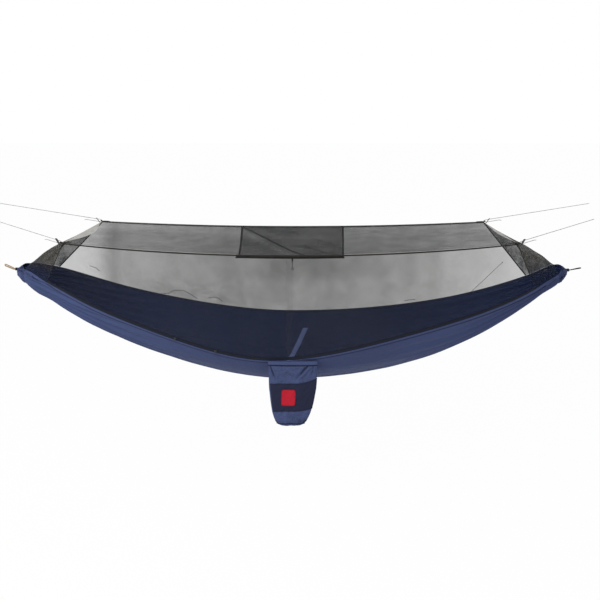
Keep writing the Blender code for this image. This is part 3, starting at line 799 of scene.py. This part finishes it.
for tag, (hand, side) in hands.items():
    corner = roof_point(hand * half_roof, side)
    along = (Vector((hand * anchor_reach, 0, anchor_rise)) - corner).normalized()
    turn = frame_of(along, Vector((0, 0, 1)))
    centre = corner + along * tab_base
    length = line_lengths[tag]
    bend = []
    for k in range(9):
        a = -pi / 2 - pi * k / 8
        bend.append(Vector((bight_radius * cos(a), 0, bight_radius * sin(a))))
    run = [Vector((length * k / 12, 0, bight_radius)) for k in range(1, 13)]
    line = [centre + turn @ p for p in bend + run]
    exit_point = line[0]
    main = ride(cord_curve("guy_line_" + tag, line, line_radius, line_cord), "canopy")
    tail = [Vector((0, 0, -bight_radius))]
    for k in range(1, 9):
        gone = k / 8
        droop = tail_droop * max(gone - 0.88, 0.0) / 0.12
        tail.append(Vector((tail_length * gone, 0, -bight_radius - droop)))
    tail = [centre + turn @ p for p in tail]
    free = ride(cord_curve("guy_tail_" + tag, tail, line_radius, line_cord), "canopy")
    knot_place = centre + turn @ Vector((length + knot_gap, 0, bight_radius))
    knot = tube("guy_knot_" + tag, trefoil(knot_place, turn, knot_size), knot_strand, line_cord,
                around=8, cyclic=True)
    ride(knot, "canopy")
    place(exit_point)
    place(tail[0])

    def patch_point(u, v):
        x_far = half_roof - patch_inset
        y_far = half_width - patch_inset
        spot = roof_point(hand * (x_far - patch_length * u), side * (y_far - patch_width * v) / half_width)
        return spot + Vector((0, 0, patch_lift + patch_swell * sin(pi * u) * sin(pi * v)))

    patch = grid("corner_patch_" + tag, 12, 8, patch_point, webbing, binding_thick)
    ride(patch, "canopy")
    ride(refined("corner_tab_" + tag, solid_webbing, webbing_bevel), "canopy")
    ride(refined("line_runner_" + tag, hard_black, runner_bevel), "runner_" + tag)

# The tie cord from the back rim to the back wall, with its toggle
foot_angle = back_angle(tie_foot_place) - arc(hem_width / 2, tie_foot_place)
foot = bed_point(tie_foot_place, foot_angle)
inward = Vector((0, -foot.y, -foot.z)).normalized()
foot = foot + inward * (hem_thick / 2 + tie_cord_radius + tie_clearance)
head_rim = back_rim(back_wall_reach * tie_head_share)
head_top = roof_point(half_roof * tie_head_share, 1)
head = head_rim + (head_top - head_rim) * tie_head_up_share - Vector((0, tie_standoff, 0))
tie = cord_curve("tie_cord", [foot.lerp(head, k / 16) for k in range(17)], tie_cord_radius, dark_cord)
ride(tie, "bed")
toggle = ride(refined("tie_toggle", hard_black, toggle_bevel, 1), "bed")
place(foot)


# The bed's three panels, their felled seams, the two rim hems and a painted shadow along each hem's edge
def bed_sheet(name, angle, columns, material, thick, lift=lambda v: 0.0, under=None):
    def point(u, v):
        x = along_bed(u)
        return bed_point(x, angle(x, v), lift(v))
    return ride(grid(name, bed_rows, columns, point, material, thick, under=under), "bed")


def panel(name, low, high, columns):
    def angle(x, v):
        return low(x) + (high(x) - low(x)) * v
    return bed_sheet(name, angle, columns, inner_cloth, cloth_thick, under=cloth)


def felled(name, middle):
    def angle(x, v):
        return middle + arc(seam_width * (v - 0.5), x)

    def lift(v):
        return -seam_lift - seam_swell * sin(pi * v)
    return bed_sheet(name, angle, 4, hem_cloth, seam_thick, lift)


def rim_hem(name, edge, inwards):
    def angle(x, v):
        return edge(x) + inwards * arc(hem_width, x) * v

    def lift(v):
        return clearance * sin(pi * v)
    return bed_sheet(name, angle, 5, hem_cloth, hem_sheet_thick, lift)


# A thin dark strip outside along each hem's far edge: a painted shadow at the hem's folded edge
def hem_edge(name, edge, inwards):
    def angle(x, v):
        return edge(x) + inwards * arc(hem_width - edge_width + edge_width * v, x)
    return bed_sheet(name + "_edge", angle, 2, hem_shadow_cloth, edge_thick, lambda v: -edge_lift)


def hem_foot(x):
    t = abs(x) / half_span
    return arc(hem_width + clearance + 0.0010 * t ** 10, x)


def front_edge(x):
    return -front_angle(x)


seam = radians(seam_angle)
centre_panel = panel("bed_centre_panel", lambda x: -seam, lambda x: seam, 64)
front_panel = panel("bed_front_panel", lambda x: front_edge(x) + hem_foot(x), lambda x: -seam, 40)
back_panel = panel("bed_back_panel", lambda x: seam, lambda x: back_angle(x) - hem_foot(x), 40)
seams = [felled("panel_seam_front", -seam), felled("panel_seam_back", seam)]
front_hem = rim_hem("rim_hem_front", front_edge, 1)
back_hem = rim_hem("rim_hem_back", back_angle, -1)
hem_edge("rim_hem_front", front_edge, 1)
hem_edge("rim_hem_back", back_angle, -1)

# The zip: two tapes and a row of teeth between them
ride(strip("zip_tape_lower", -1, lambda n: tape_lift, lambda n: lower_top, zip_cloth), "bed")
ride(strip("zip_tape_upper", -1, lambda n: lower_top + clearance, lambda n: upper_top, zip_cloth), "bed")
teeth = bmesh.new()
tooth_count = int(2 * front_wall_reach / tooth_pitch) - 2
for k in range(tooth_count):
    share = 2 * (k + 1) / (tooth_count + 1) - 1
    here = wall_at(-1, share, lower_top + clearance / 2)
    ahead = (wall_at(-1, share + 0.002, lower_top) - wall_at(-1, share - 0.002, lower_top)).normalized()
    up = (wall_at(-1, share, upper_top) - here).normalized()
    turn = Matrix((ahead, up, ahead.cross(up))).transposed().to_4x4()
    size = Matrix.Diagonal((*tooth_size, 1))
    shove = Matrix.Translation(place(here + up * (tooth_stagger if k % 2 else -tooth_stagger)))
    bmesh.ops.create_cube(teeth, size=1, matrix=shove @ turn @ size)
data = bpy.data.meshes.new("zip_teeth")
teeth.to_mesh(data)
teeth.free()
ride(new_object("zip_teeth", data, teeth_plastic), "bed")
for tag in ("a", "b"):
    ride(refined("zip_slider_" + tag, hard_black, slider_bevel), "slider_" + tag)
    ride(refined("zip_pull_" + tag, hard_black, pull_bevel), "pull_" + tag)


# The net walls, the roof and their tapes
def billow(side, x, up):
    spot = Vector((x * 2.6, up * 2.2 + x * 0.9, side * 5.0))
    fold = noise.noise(spot) + 0.5 * noise.noise(spot * 3.1)
    return billow_size * fold * sin(pi * up)


def wall_net(name, side, low, high):
    def point(u, v):
        share = 2 * u - 1
        length = wall_length(side, share)
        spot = wall_at(side, share, low + (length - high - low) * v)
        return spot + Vector((0, side * billow(side, spot.x, v), 0))
    return grid(name, 200, 40, point, wall_mesh if side < 0 else lit_back_mesh)


front_net = sway(wall_net("front_net", -1, upper_top - net_tuck, ridge_bottom - net_tuck))
back_net = wall_net("back_net", 1, 0.0, ridge_bottom - net_tuck)


# The back wall hangs in soft upright folds, slack at its left end and creased above the rim
def back_fold(spot):
    x = max(min(spot.x, back_wall_reach), -back_wall_reach)
    low = back_rim(x).z
    up = (spot.z - low) / (roof_point(x, 1).z - low)
    fold = 0.48 * exp(-((x + 1.0) / 0.032) ** 2) + 0.12 * exp(-((x + 0.93) / 0.05) ** 2)
    high = ease(0.30, 0.45, up) * ease(0.75, 0.62, up)
    fold += 0.28 * high * exp(-((x - 0.12) / 0.42) ** 2) + 0.14 * exp(-((x - 0.72) / 0.30) ** 2)
    fold += 0.30 * ease(0.22, 0.02, up) * exp(-((x + 0.80) / 0.12) ** 2) - 0.66 * ease(-1.03, -1.10, x)
    fold -= 0.30 * ease(0.80, 0.93, up)
    stroke = max(1 - 4.0 * abs(noise_at(x * 7, up * 9 + x * 5, 4.0)), 0.0)
    fold += 0.22 * stroke * ease(0.34, 0.12, up) * ease(-0.88, -0.70, x) * ease(-0.18, -0.36, x)
    return fold + 0.16 * noise_at(x * 12, up * 1.2, 7.0)


sway(mark_folds(back_net, back_fold))

# Pinched pleats low on that wall, each a row of places along the wall and shares of its height
pleats = (((-0.599, 0.008), (-0.567, 0.030), (-0.549, 0.085),
           (-0.508, 0.105), (-0.472, 0.070), (-0.436, 0.015)),
          ((-0.396, 0.058), (-0.369, 0.083), (-0.346, 0.077), (-0.324, 0.035)),
          ((-0.910, 0.150), (-0.885, 0.145), (-0.862, 0.105)),
          ((0.513, 0.035), (0.540, 0.040), (0.565, 0.030)))
for number, spots in enumerate(pleats):
    line = []
    for first, second in zip(spots, spots[1:]):
        for k in range(6):
            share = first[0] + (second[0] - first[0]) * k / 6
            up = first[1] + (second[1] - first[1]) * k / 6
            spot = wall_at(1, share, wall_length(1, share) * up)
            line.append(spot + Vector((0, billow(1, spot.x, up) - pleat_inset, 0)))
    pleat = tube("wall_pleat_%d" % number, line, pleat_radius, pleat_net, around=6)
    sway(pleat)


def strip_point(u, v):
    x = strip_width * (u - 0.5)
    rim = front_rim(x)
    top = roof_point(x, -1)
    length = (top - rim).length
    low = upper_top + strip_stop
    spot = rim + (top - rim) * ((low + (length - ridge_bottom - strip_stop - low) * v) / length)
    return spot + Vector((0, -strip_lift - billow(-1, x, v), 0))


sway(grid("centre_strip", 4, 30, strip_point, strip_mesh))


def roof_skin(u, v):
    x = half_roof * (2 * u - 1)
    side = 2 * v - 1
    spot = roof_point(x, side)
    belly = sin(pi * v) * sin(pi * u) ** 0.5
    fold = noise_at(x * 2.4 + side, side * 1.8, 9.0)
    fold += 0.4 * noise_at(x * 7, side * 4, 3.0)
    spot.z += belly * (0.005 * fold - 0.004)
    return spot


roof_net = ride(grid("roof_net", 140, 30, roof_skin, roof_mesh), "canopy")

# The net is doubled over along the roof's short edges
for word, hand, wide in (("left", -1, 0.064), ("right", 1, 0.022)):
    def doubled(u, v):
        side = 0.02 + 0.96 * u
        away = 0.0005 + wide * sin(pi * u) ** 1.3 * (1.2 - 0.8 * u) * v
        return roof_skin(0.5 + hand * (0.5 - away / roof_length), side) + Vector((0, 0, doubled_lift))
    hem_net = ride(grid("roof_end_" + word, 60, 6, doubled, pale_mesh), "canopy")
front_tape = strip("roof_tape_front", -1, lambda n: n - ridge_bottom + 0.0015,
                   lambda n: n - ridge_tape_drop + 0.0010, webbing)
ride(front_tape, "canopy")
back_tape = strip("roof_tape_back", 1, lambda n: n - ridge_bottom, lambda n: n - ridge_tape_drop + 0.0018,
                  pale_webbing)
ride(back_tape, "canopy")


# The end nets, from the roof's short edges to the rims round the gathered ends
def end_path(hand):
    front = [front_wall_reach + (sheet_reach - front_wall_reach) * k / 10 for k in range(11)]
    back = [back_wall_reach + (sheet_reach - back_wall_reach) * k / 10 for k in range(11)]
    path = [front_rim(hand * x) for x in front] + [back_rim(hand * x) for x in reversed(back)]
    return path, spacing_of(path)


# A place on an end net: u runs along the rims from front to back, v up to the roof's edge
def end_point(hand, path, lengths, u, v):
    k, share = stretch(lengths, u * lengths[-1])
    foot = path[k].lerp(path[k + 1], share)
    top = roof_point(hand * half_roof, 2 * u - 1)
    spot = foot.lerp(top, 0.004 + 0.992 * v)
    fold = noise_at(u * 5, v * 2.2, hand * 3.0) * sin(pi * v) * sin(pi * u)
    belly = 0.022 * ease(0.0, 0.3, v) * ease(1.0, 0.5, v) * ease(0.0, 0.3, u) * ease(1.0, 0.7, u)
    return spot + Vector((hand * (0.008 * fold + belly), 0, 0.006 * fold))


for word, hand in ends.items():
    path, lengths = end_path(hand)
    net = grid("end_net_" + word, 60, 24, lambda u, v: end_point(hand, path, lengths, u, v), end_mesh)
    sway(net)
    for edge, u, radius in (("front", 0.0, front_seam_radius), ("back", 1.0, back_seam_radius)):
        line = [end_point(hand, path, lengths, u, v / 20) for v in range(21)]
        bound = tube("end_seam_" + word + "_" + edge, line, radius, seam_tape, around=8)
        sway(bound)


# The gear loft with its band and bindings
tape_inner = half_width - tape_thick / 2 - clearance
loft_front_y = -(tape_inner - tape_thick - clearance)
loft_back_y = tape_inner - 0.0004


def loft_point(across, side_share, extra=0.0):
    y = loft_front_y + (loft_back_y - loft_front_y) * side_share
    side = y / half_width
    half = loft_front_half + (loft_back_half - loft_front_half) * side_share + extra
    x = across * half
    height = roof_point(x, side).z - loft_edge_drop * (1 - side_share)
    height -= loft_edge_lift + loft_sag * 4 * side_share * (1 - side_share)
    return Vector((x, y, height))


def loft_skin(u, v):
    spot = loft_point(2 * u - 1, v)
    fold = noise_at(spot.x * 6, spot.y * 5, 2.0) * sin(pi * u) * sin(pi * v)
    return spot + Vector((0, 0, 0.004 * fold))


# How high a place on the loft looks from the front, by how far back it is
def rise_of(side_share):
    return 0.233 * side_share * side_share - 0.059 * side_share


# The loft is folded over along a slanting crease, dark on the crease and thinner below it
def loft_fold(spot):
    side_share = (spot.y - loft_front_y) / (loft_back_y - loft_front_y)
    across = spot.x / (loft_front_half + (loft_back_half - loft_front_half) * side_share)
    off = rise_of(side_share) - rise_of(0.549 - 0.550 * across - 0.119 * across * across)
    left = ease(0.44, 0.24, across) * ease(0.12, 0.22, side_share)
    fold = left * (exp(-(off / 0.0048) ** 2) - 0.55 * exp(-((off + 0.026) / 0.016) ** 2))
    off = rise_of(side_share) - rise_of(0.748 - 0.380 * across)
    fold += 0.45 * ease(0.10, 0.34, across) * ease(0.98, 0.85, across) * exp(-(off / 0.006) ** 2)
    return fold + 0.30 * noise_at(spot.x * 9 + spot.y * 5, spot.y * 11, 8.0)


loft_net = grid("loft_net", 100, 120, loft_skin, loft_mesh)
ride(mark_folds(loft_net, loft_fold), "canopy")
for word, hand in ends.items():
    def binding_point(u, v):
        return loft_point(hand, u, loft_binding_width * v + clearance)
    bound = grid("loft_binding_" + word, 40, 3, binding_point, webbing, binding_thick)
    ride(bound, "canopy")


def band_point(u, v):
    x = loft_band_half * (2 * u - 1)
    top = roof_point(x, -1, 0.0012)
    return Vector((x, -(tape_inner - tape_thick / 2), top.z - loft_band_height * v))


loft_band = ride(grid("loft_band", 60, 6, band_point, webbing, binding_thick), "canopy")

# The hang tab, its cord and the ring
hang_y = loft_front_y + hang_inset
bar_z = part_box("hang_tab")[0].z - shift.z + tab_bar_lift
ride(refined("hang_tab", solid_webbing, tab_bevel), "canopy")
hang_route = []
for k in range(6):
    hang_route.append((0.0, -hang_loop_radius - hang_cord_length * (1 - k / 6)))
for k in range(19):
    a = radians(-90 + hang_loop_turn * k / 18)
    hang_route.append((hang_loop_radius * cos(a), hang_loop_radius * sin(a)))
hang_route = [(ring_place, hang_y + y, bar_z + z) for y, z in hang_route]
hang_ring = ride(refined("hang_ring", hard_black, ring_bevel), "hang_ring")
hang_cord = ride(cord_curve("hang_cord", hang_route, hang_cord_radius, dark_cord), "hang_ring")
place(hang_route[-1])


# The gathered ends carry the sheets' folds on to the whippings
def gathered(name, hand):
    start = sheet_reach - gather_start
    neck = half_span - neck_inset

    def point(u, v):
        x = start + (neck - start) * u
        inner = min(x, sheet_reach)
        closing = ease(0.20, 0.80, u)
        low = -front_angle(hand * inner)
        high = back_angle(hand * inner)
        low += (-pi - low) * closing
        high += (pi - high) * closing
        a = low + (high - low) * v
        edge = max(min(a, back_angle(hand * inner)), -front_angle(hand * inner))
        base = bed_point(hand * inner, edge, gather_lift)
        gone = max(x - sheet_reach, 0.0) / (neck - sheet_reach)
        blunt = min(max(0.30 * gone, 0.80 * gone - 0.20, 8 * gone - 6.93), 1.0)
        if hand > 0:
            blunt = min(max(0.31 * gone, 1.11 * gone - 0.36, 5 * gone - 4.0), 1.0)
        under = 0.5 + 0.5 * cos(a)
        upper = min(gone * 1.15, 1.0) ** 0.8
        kept = 1 - upper + (upper - blunt) * under
        size = neck_radius + (hypot(base.y, base.z) - neck_radius) * kept
        depth = 0.12 * closing * ease(0.0, 0.04, v) * ease(1.0, 0.96, v)
        wave = cos(tau * 17 * v + 2 * u) + 0.5 * noise_at(v * 14, u * 2, hand * 6.0)
        size *= 1 + depth * (wave - 1)
        return Vector((hand * x, size * sin(a), -size * cos(a)))

    # Painted shade: the gathered cloth darkens in its pleat valleys and over its top
    def depth(spot):
        gone = (abs(spot.x) - sheet_reach) / (neck - sheet_reach)
        across = noise_at(atan2(spot.y, -spot.z) * 4.5, gone * 0.8, hand * 2.0)
        return 2.0 * (across - 0.12) * ease(0.0, 0.4, gone) + 0.7 * ease(0.0, 0.015, spot.z)

    sides = (inner_cloth, gather_cloth) if hand > 0 else (gather_cloth, inner_cloth)
    cloth_end = mark_folds(grid(name, 30, 204, point, sides[0], cloth_thick, under=sides[1]), depth)
    return ride(cloth_end, "bed")


for word, hand in ends.items():
    gathered("gather_" + word, hand)
    start = half_span - whipping_inset
    coil = []
    for k in range(4 * 24 + 1):
        a = tau * k / 24
        x = start + whipping_pitch * k / 24
        coil.append((hand * x, whipping_radius * cos(a), whipping_radius * sin(a)))
    wound = tube("whipping_" + word, coil, whipping_cord_radius, dark_cord, around=8)
    ride(wound, "canopy")


# An eye of rope: half is half its width, and flat lays it level
def eye_route(hand, reach, rise, half, rope, flat):
    near = half_span + whipping_length / 2 + 2 * clearance + rope
    far = half_span + reach
    points = []
    for k in range(13):
        turn = -pi / 2 + pi * k / 12
        points.append((far + half * cos(turn), half * sin(turn)))
    points += [(near + rope, rope + clearance), (near, 0), (near + rope, -rope - clearance)]
    out = []
    for x, wide in points:
        climb = rise * (x - near) / (far - near)
        out.append((hand * x, wide, climb) if flat else (hand * x, 0, climb + wide))
    return out


left_route = eye_route(-1, left_eye_reach, left_eye_rise, 0.0046, left_rope_radius, False)
right_route = eye_route(1, right_eye_reach, right_eye_rise, 0.0070, right_rope_radius, True)
ride(tube("suspension_loop_left", left_route, left_rope_radius, tan_cord, around=24, cyclic=True,
          braid=0.16, strands=6, pitch=0.026), "canopy")
ride(tube("suspension_loop_right", right_route, right_rope_radius, dark_cord, around=20, cyclic=True,
          braid=0.16, strands=6, pitch=0.018), "canopy")


# The strap inside the bed
def strap_point(u, v):
    angle = radians(strap_top_angle + (strap_bottom_angle - strap_top_angle) * u)
    x = strap_top_place + (strap_bottom_place - strap_top_place) * u
    spot = x + strap_half_width * (2 * v - 1)
    return bed_point(spot, angle, strap_lift + strap_swell * sin(7 * u + 3 * v))


ride(grid("inner_strap", 50, 6, strap_point, strap_cloth, strap_thick), "bed")

# The stuff sack: a lofted bag with its hem, dark band and plain label
rim_middle = front_rim(sack_place)
rim_lean = hem_thick / 2 * sin(front_angle(sack_place))
sack_y = rim_middle.y - rim_lean - clearance - sack_half_depth - sack_hem_thick / 2
sack_top = rim_middle.z - sack_drop
bag_top = sack_top - sack_hem_height - clearance


def sack_middle(z):
    share = max(bag_top - z, 0.0) / sack_depth_below
    return sack_place - sack_lean * share * share


# The sack's outline at one height is an oval with full corners
def sack_outline(half_w, half_d, turn, z):
    c = cos(turn)
    s = sin(turn)
    u = copysign(abs(c) ** (2 / sack_squareness), c)
    v = copysign(abs(s) ** (2 / sack_squareness), s)
    return Vector((sack_middle(z) + half_w * u, sack_y - half_d * v, z))


# How wide and how full the bag is, at a drop below its top
def sack_shape(drop):
    k, mix = stretch(sack_rows_share, min(max(drop / sack_depth_below, 0.0), 1.0))
    return [table[k] + (table[k + 1] - table[k]) * mix for table in (sack_width_share, sack_swell_share)]


# One crease in the sack's face, from a start to an end, each across and down
def crease(x, drop, start, end, width):
    run = Vector(end) - Vector(start)
    spot = Vector((x, drop)) - Vector(start)
    along = spot.dot(run) / run.length_squared
    off = (spot.x * run.y - spot.y * run.x) / run.length / width
    fade = ease(-0.15, 0.10, along) * ease(1.25, 0.55, along)
    return fade * (0.8 * exp(-(off - 1.1) ** 2) - exp(-off * off))


def sack_folds(x, drop):
    return sum(depth * crease(x, drop, start, end, width) for depth, start, end, width in sack_creases)


def sack_wrinkle(x, drop, front):
    pull = noise_at(x * 15, drop * 8, front * 4.0)
    fine = 0.5 - abs(noise_at(x * 30 + drop * 12, drop * 26, front * 2.0))
    low = ease(0.20, 0.30, drop) * noise_at(x * 45, drop * 18, front * 3.0)
    return 0.0050 * pull + 0.0050 * fine + 0.0046 * low + 0.0110 * sack_folds(x, drop)


def bag_point(u, v):
    drop = sack_depth_below * u
    width, swell = sack_shape(drop)
    turn = tau * v
    spot = sack_outline(sack_half_width * width, sack_half_depth * swell, turn, bag_top - drop)
    facing = sin(turn)
    spot.y -= sack_wrinkle(spot.x - sack_place, drop, 1 if facing > 0 else -1) * facing * ease(0.0, 0.06, u)
    return spot


def hem_point(u, v):
    turn = tau * v
    pucker = 0.0006 * sin(turn * 34) * sin(pi * u)
    height = sack_top - sack_hem_inset - (sack_hem_height - sack_hem_inset) * u
    return sack_outline(sack_half_width, sack_half_depth + pucker, turn, height)


ride(grid("sack_hem", 6, 144, hem_point, hem_cloth, sack_hem_cloth_thick, closed=True), "sack")
bag = grid("sack_body", 70, 144, bag_point, sack_cloth, closed=True)

# The bag's open bottom is filled
low_line = place((0, 0, bag_top - 0.2)).z
shape = bmesh.new()
shape.from_mesh(bag.data)
rim = [e for e in shape.edges if e.is_boundary and all(v.co.z < low_line for v in e.verts)]
bmesh.ops.edgeloop_fill(shape, edges=rim)
shape.to_mesh(bag.data)
shape.free()


# Painted shade: the bag's creases and its puckered bottom are painted darker
def bag_crease_shade(spot):
    drop = bag_top - spot.z
    x = spot.x - sack_place
    deep = -1.15 * sack_folds(x, drop) - 0.15
    pucker = ease(0.245, 0.300, drop) * 2.4 * (noise_at(x * 42, drop * 26, 6.0) - 0.10)
    return max(deep, pucker)


ride(mark_folds(bag, bag_crease_shade), "sack")


# Half the width and depth of what lies on the bag
def cover_size(drop, lift=0.0):
    width, swell = sack_shape(drop)
    skin = cover_skin + lift
    return sack_half_width * width + skin, sack_half_depth * swell + skin * 1.25


def cover_point(drop, turn, lift):
    spot = sack_outline(*cover_size(drop, lift), turn, bag_top - drop)
    facing = sin(turn)
    spot.y -= sack_wrinkle(spot.x - sack_place, drop, 1) * facing * ease(0.0, 0.06, drop / sack_depth_below)
    return spot


# The dark band across the sack: both its edges climb towards the right
def band_edge(v, low):
    slant = 0.013 if low else 0.024
    edge = band_bottom + 0.0065 if low else band_top + 0.0045
    return edge - sack_hem_height - slant * ease(0.6, 0.0, v) + 0.003 * ease(0.6, 1.0, v)


def band_turn(v):
    return radians(7 + 148 * v)


def band_at(u, v):
    high = band_edge(v, 0)
    return cover_point(high + (band_edge(v, 1) - high) * u, band_turn(v), 0.0)


ride(grid("sack_band", 44, 90, band_at, band_cloth, band_thick), "sack")


# Raised rows of thread across the sack
def thread_line(name, drop, turn, tall, lift, material):
    def point(u, v):
        return cover_point(drop(u) + tall * v, turn(u), lift)
    line = ride(grid(name, 110, 2, point, material, thread_thick), "sack")
    return line


def half_turn(u):
    return radians(3 + 174 * u)


def bottom_drop(u):
    return sack_depth_below * 0.955 + 0.004 * noise_at(u * 9, 0, 0)


thread_line("sack_seam", lambda u: 0.0004, half_turn, 0.0036, 0.0004, zip_cloth)
thread_line("band_edge_top", lambda u: band_edge(u, 0), band_turn, 0.0035, 0.0010, band_cloth)
thread_line("band_edge_bottom", lambda u: band_edge(u, 1) - 0.0035, band_turn, 0.0035, 0.0010, band_cloth)
thread_line("sack_bottom_seam", bottom_drop, half_turn, 0.0030, 0.0006, zip_cloth)


# The label is a bare red rounded rectangle with a stitched border
def label_point(u, v, lift):
    drop = label_drop - sack_hem_height - v
    half_w, half_d = cover_size(drop)
    depth = half_d * (1 - min(abs(u) / half_w, 1.0) ** sack_squareness) ** (1 / sack_squareness)
    x = sack_middle(bag_top - drop) + u
    wrinkle = sack_wrinkle(x - sack_place, drop, 1)
    return Vector((x, sack_y - depth - wrinkle - lift, bag_top - drop))


# A rounded rectangle's outline, from half its width and height
def rounded(u, v, corner):
    points = []
    for sign_u, sign_v, start in ((1, 1, 0), (-1, 1, 90), (-1, -1, 180), (1, -1, 270)):
        for k in range(9):
            turn = radians(start + 90 * k / 8)
            across = sign_u * (u - corner) + corner * cos(turn)
            points.append((across, sign_v * (v - corner) + corner * sin(turn)))
    return points


outline = rounded(label_half_width - 0.001, label_half_height - 0.001, label_half_width / 3)
verts = [place(label_point(-label_offset, 0, label_lift))]
faces = []
around = len(outline)
for ring in range(1, 9):
    share = ring / 8
    lift = label_lift if ring < 8 else label_edge_lift
    for u, v in outline:
        verts.append(place(label_point(u * share - label_offset, v * share, lift)))
for k in range(around):
    m = (k + 1) % around
    faces.append((0, 1 + k, 1 + m))
    for ring in range(7):
        a = 1 + ring * around
        faces.append((a + k, a + around + k, a + around + m, a + m))
data = mesh_of("sack_label", verts, faces)
lay_out(data, lambda k: (verts[k].x, verts[k].z))
ride(new_object("sack_label", data, label_red), "sack")
edge = [label_point(u - label_offset, v, border_lift) for u, v in outline]
border = tube("label_border", edge, border_radius, border_red, around=10, cyclic=True, braid=0.10, strands=2,
              pitch=0.004)
ride(border, "sack")

# Every sheet of cloth, with a width and what is sewn to it; the loop does nothing with them
for piece, wide, sewn in ((centre_panel, 0.49, seams), (front_panel, 0.27, [front_hem]),
                          (back_panel, 0.27, [back_hem])):
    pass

# The room: a pale floor and a white sky, plain white wherever a camera or a gloss sees them, and two lamps
def seen_itself(n):
    path = n.node("LightPath")
    direct = n.most(path.outputs["Is Camera Ray"], path.outputs["Is Glossy Ray"])
    return n.most(direct, path.outputs["Is Transmission Ray"])


floor_size = 40.0
floor_height = -1.05
corners = [(x * floor_size, y * floor_size, floor_height) for x, y in ((-1, -1), (1, -1), (1, 1), (-1, 1))]
data = bpy.data.meshes.new("floor")
data.from_pydata(corners, [], [(0, 1, 2, 3)])
floor_material = bpy.data.materials.new("floor")
n = Nodes(floor_material)
paper = n.tree.nodes["Principled BSDF"]
paper.inputs["Base Color"].default_value = (0.86, 0.86, 0.86, 1)
paper.inputs["Roughness"].default_value = 0.9
glow = n.node("Emission")
glow.inputs["Strength"].default_value = 1.0
both = n.node("MixShader")
n.link(n.maths("MULTIPLY", seen_itself(n), 0.975), both.inputs[0])
n.link(paper.outputs[0], both.inputs[1])
n.link(glow.outputs[0], both.inputs[2])
n.link(both.outputs[0], n.tree.nodes["Material Output"].inputs["Surface"])
new_object("floor", data, floor_material)

world = bpy.data.worlds.new("studio")
bpy.context.scene.world = world
n = Nodes(world)
sky = n.tree.nodes["Background"]
sky.inputs["Color"].default_value = (1, 1, 1, 1)
strength = n.node("MapRange")
strength.inputs["To Min"].default_value = 0.54
strength.inputs["To Max"].default_value = 1.0
n.link(seen_itself(n), strength.inputs["Value"])
n.link(strength.outputs["Result"], sky.inputs["Strength"])


def lamp(name, spot, aim, size, power):
    light = bpy.data.lights.new(name, "AREA")
    light.size = size
    light.energy = power
    thing = bpy.data.objects.new(name, light)
    thing.location = spot
    thing.rotation_euler = (Vector(aim) - Vector(spot)).to_track_quat("-Z", "Y").to_euler()
    add(thing)


lamp("key", (-1.3, -2.8, 2.0), (1.1, 0, -0.3), 2.0, 105)
lamp("fill", (3.4, -2.6, 1.2), (1.6, 0, -0.3), 2.4, 14)
bpy.context.scene.view_settings.view_transform = "Standard"
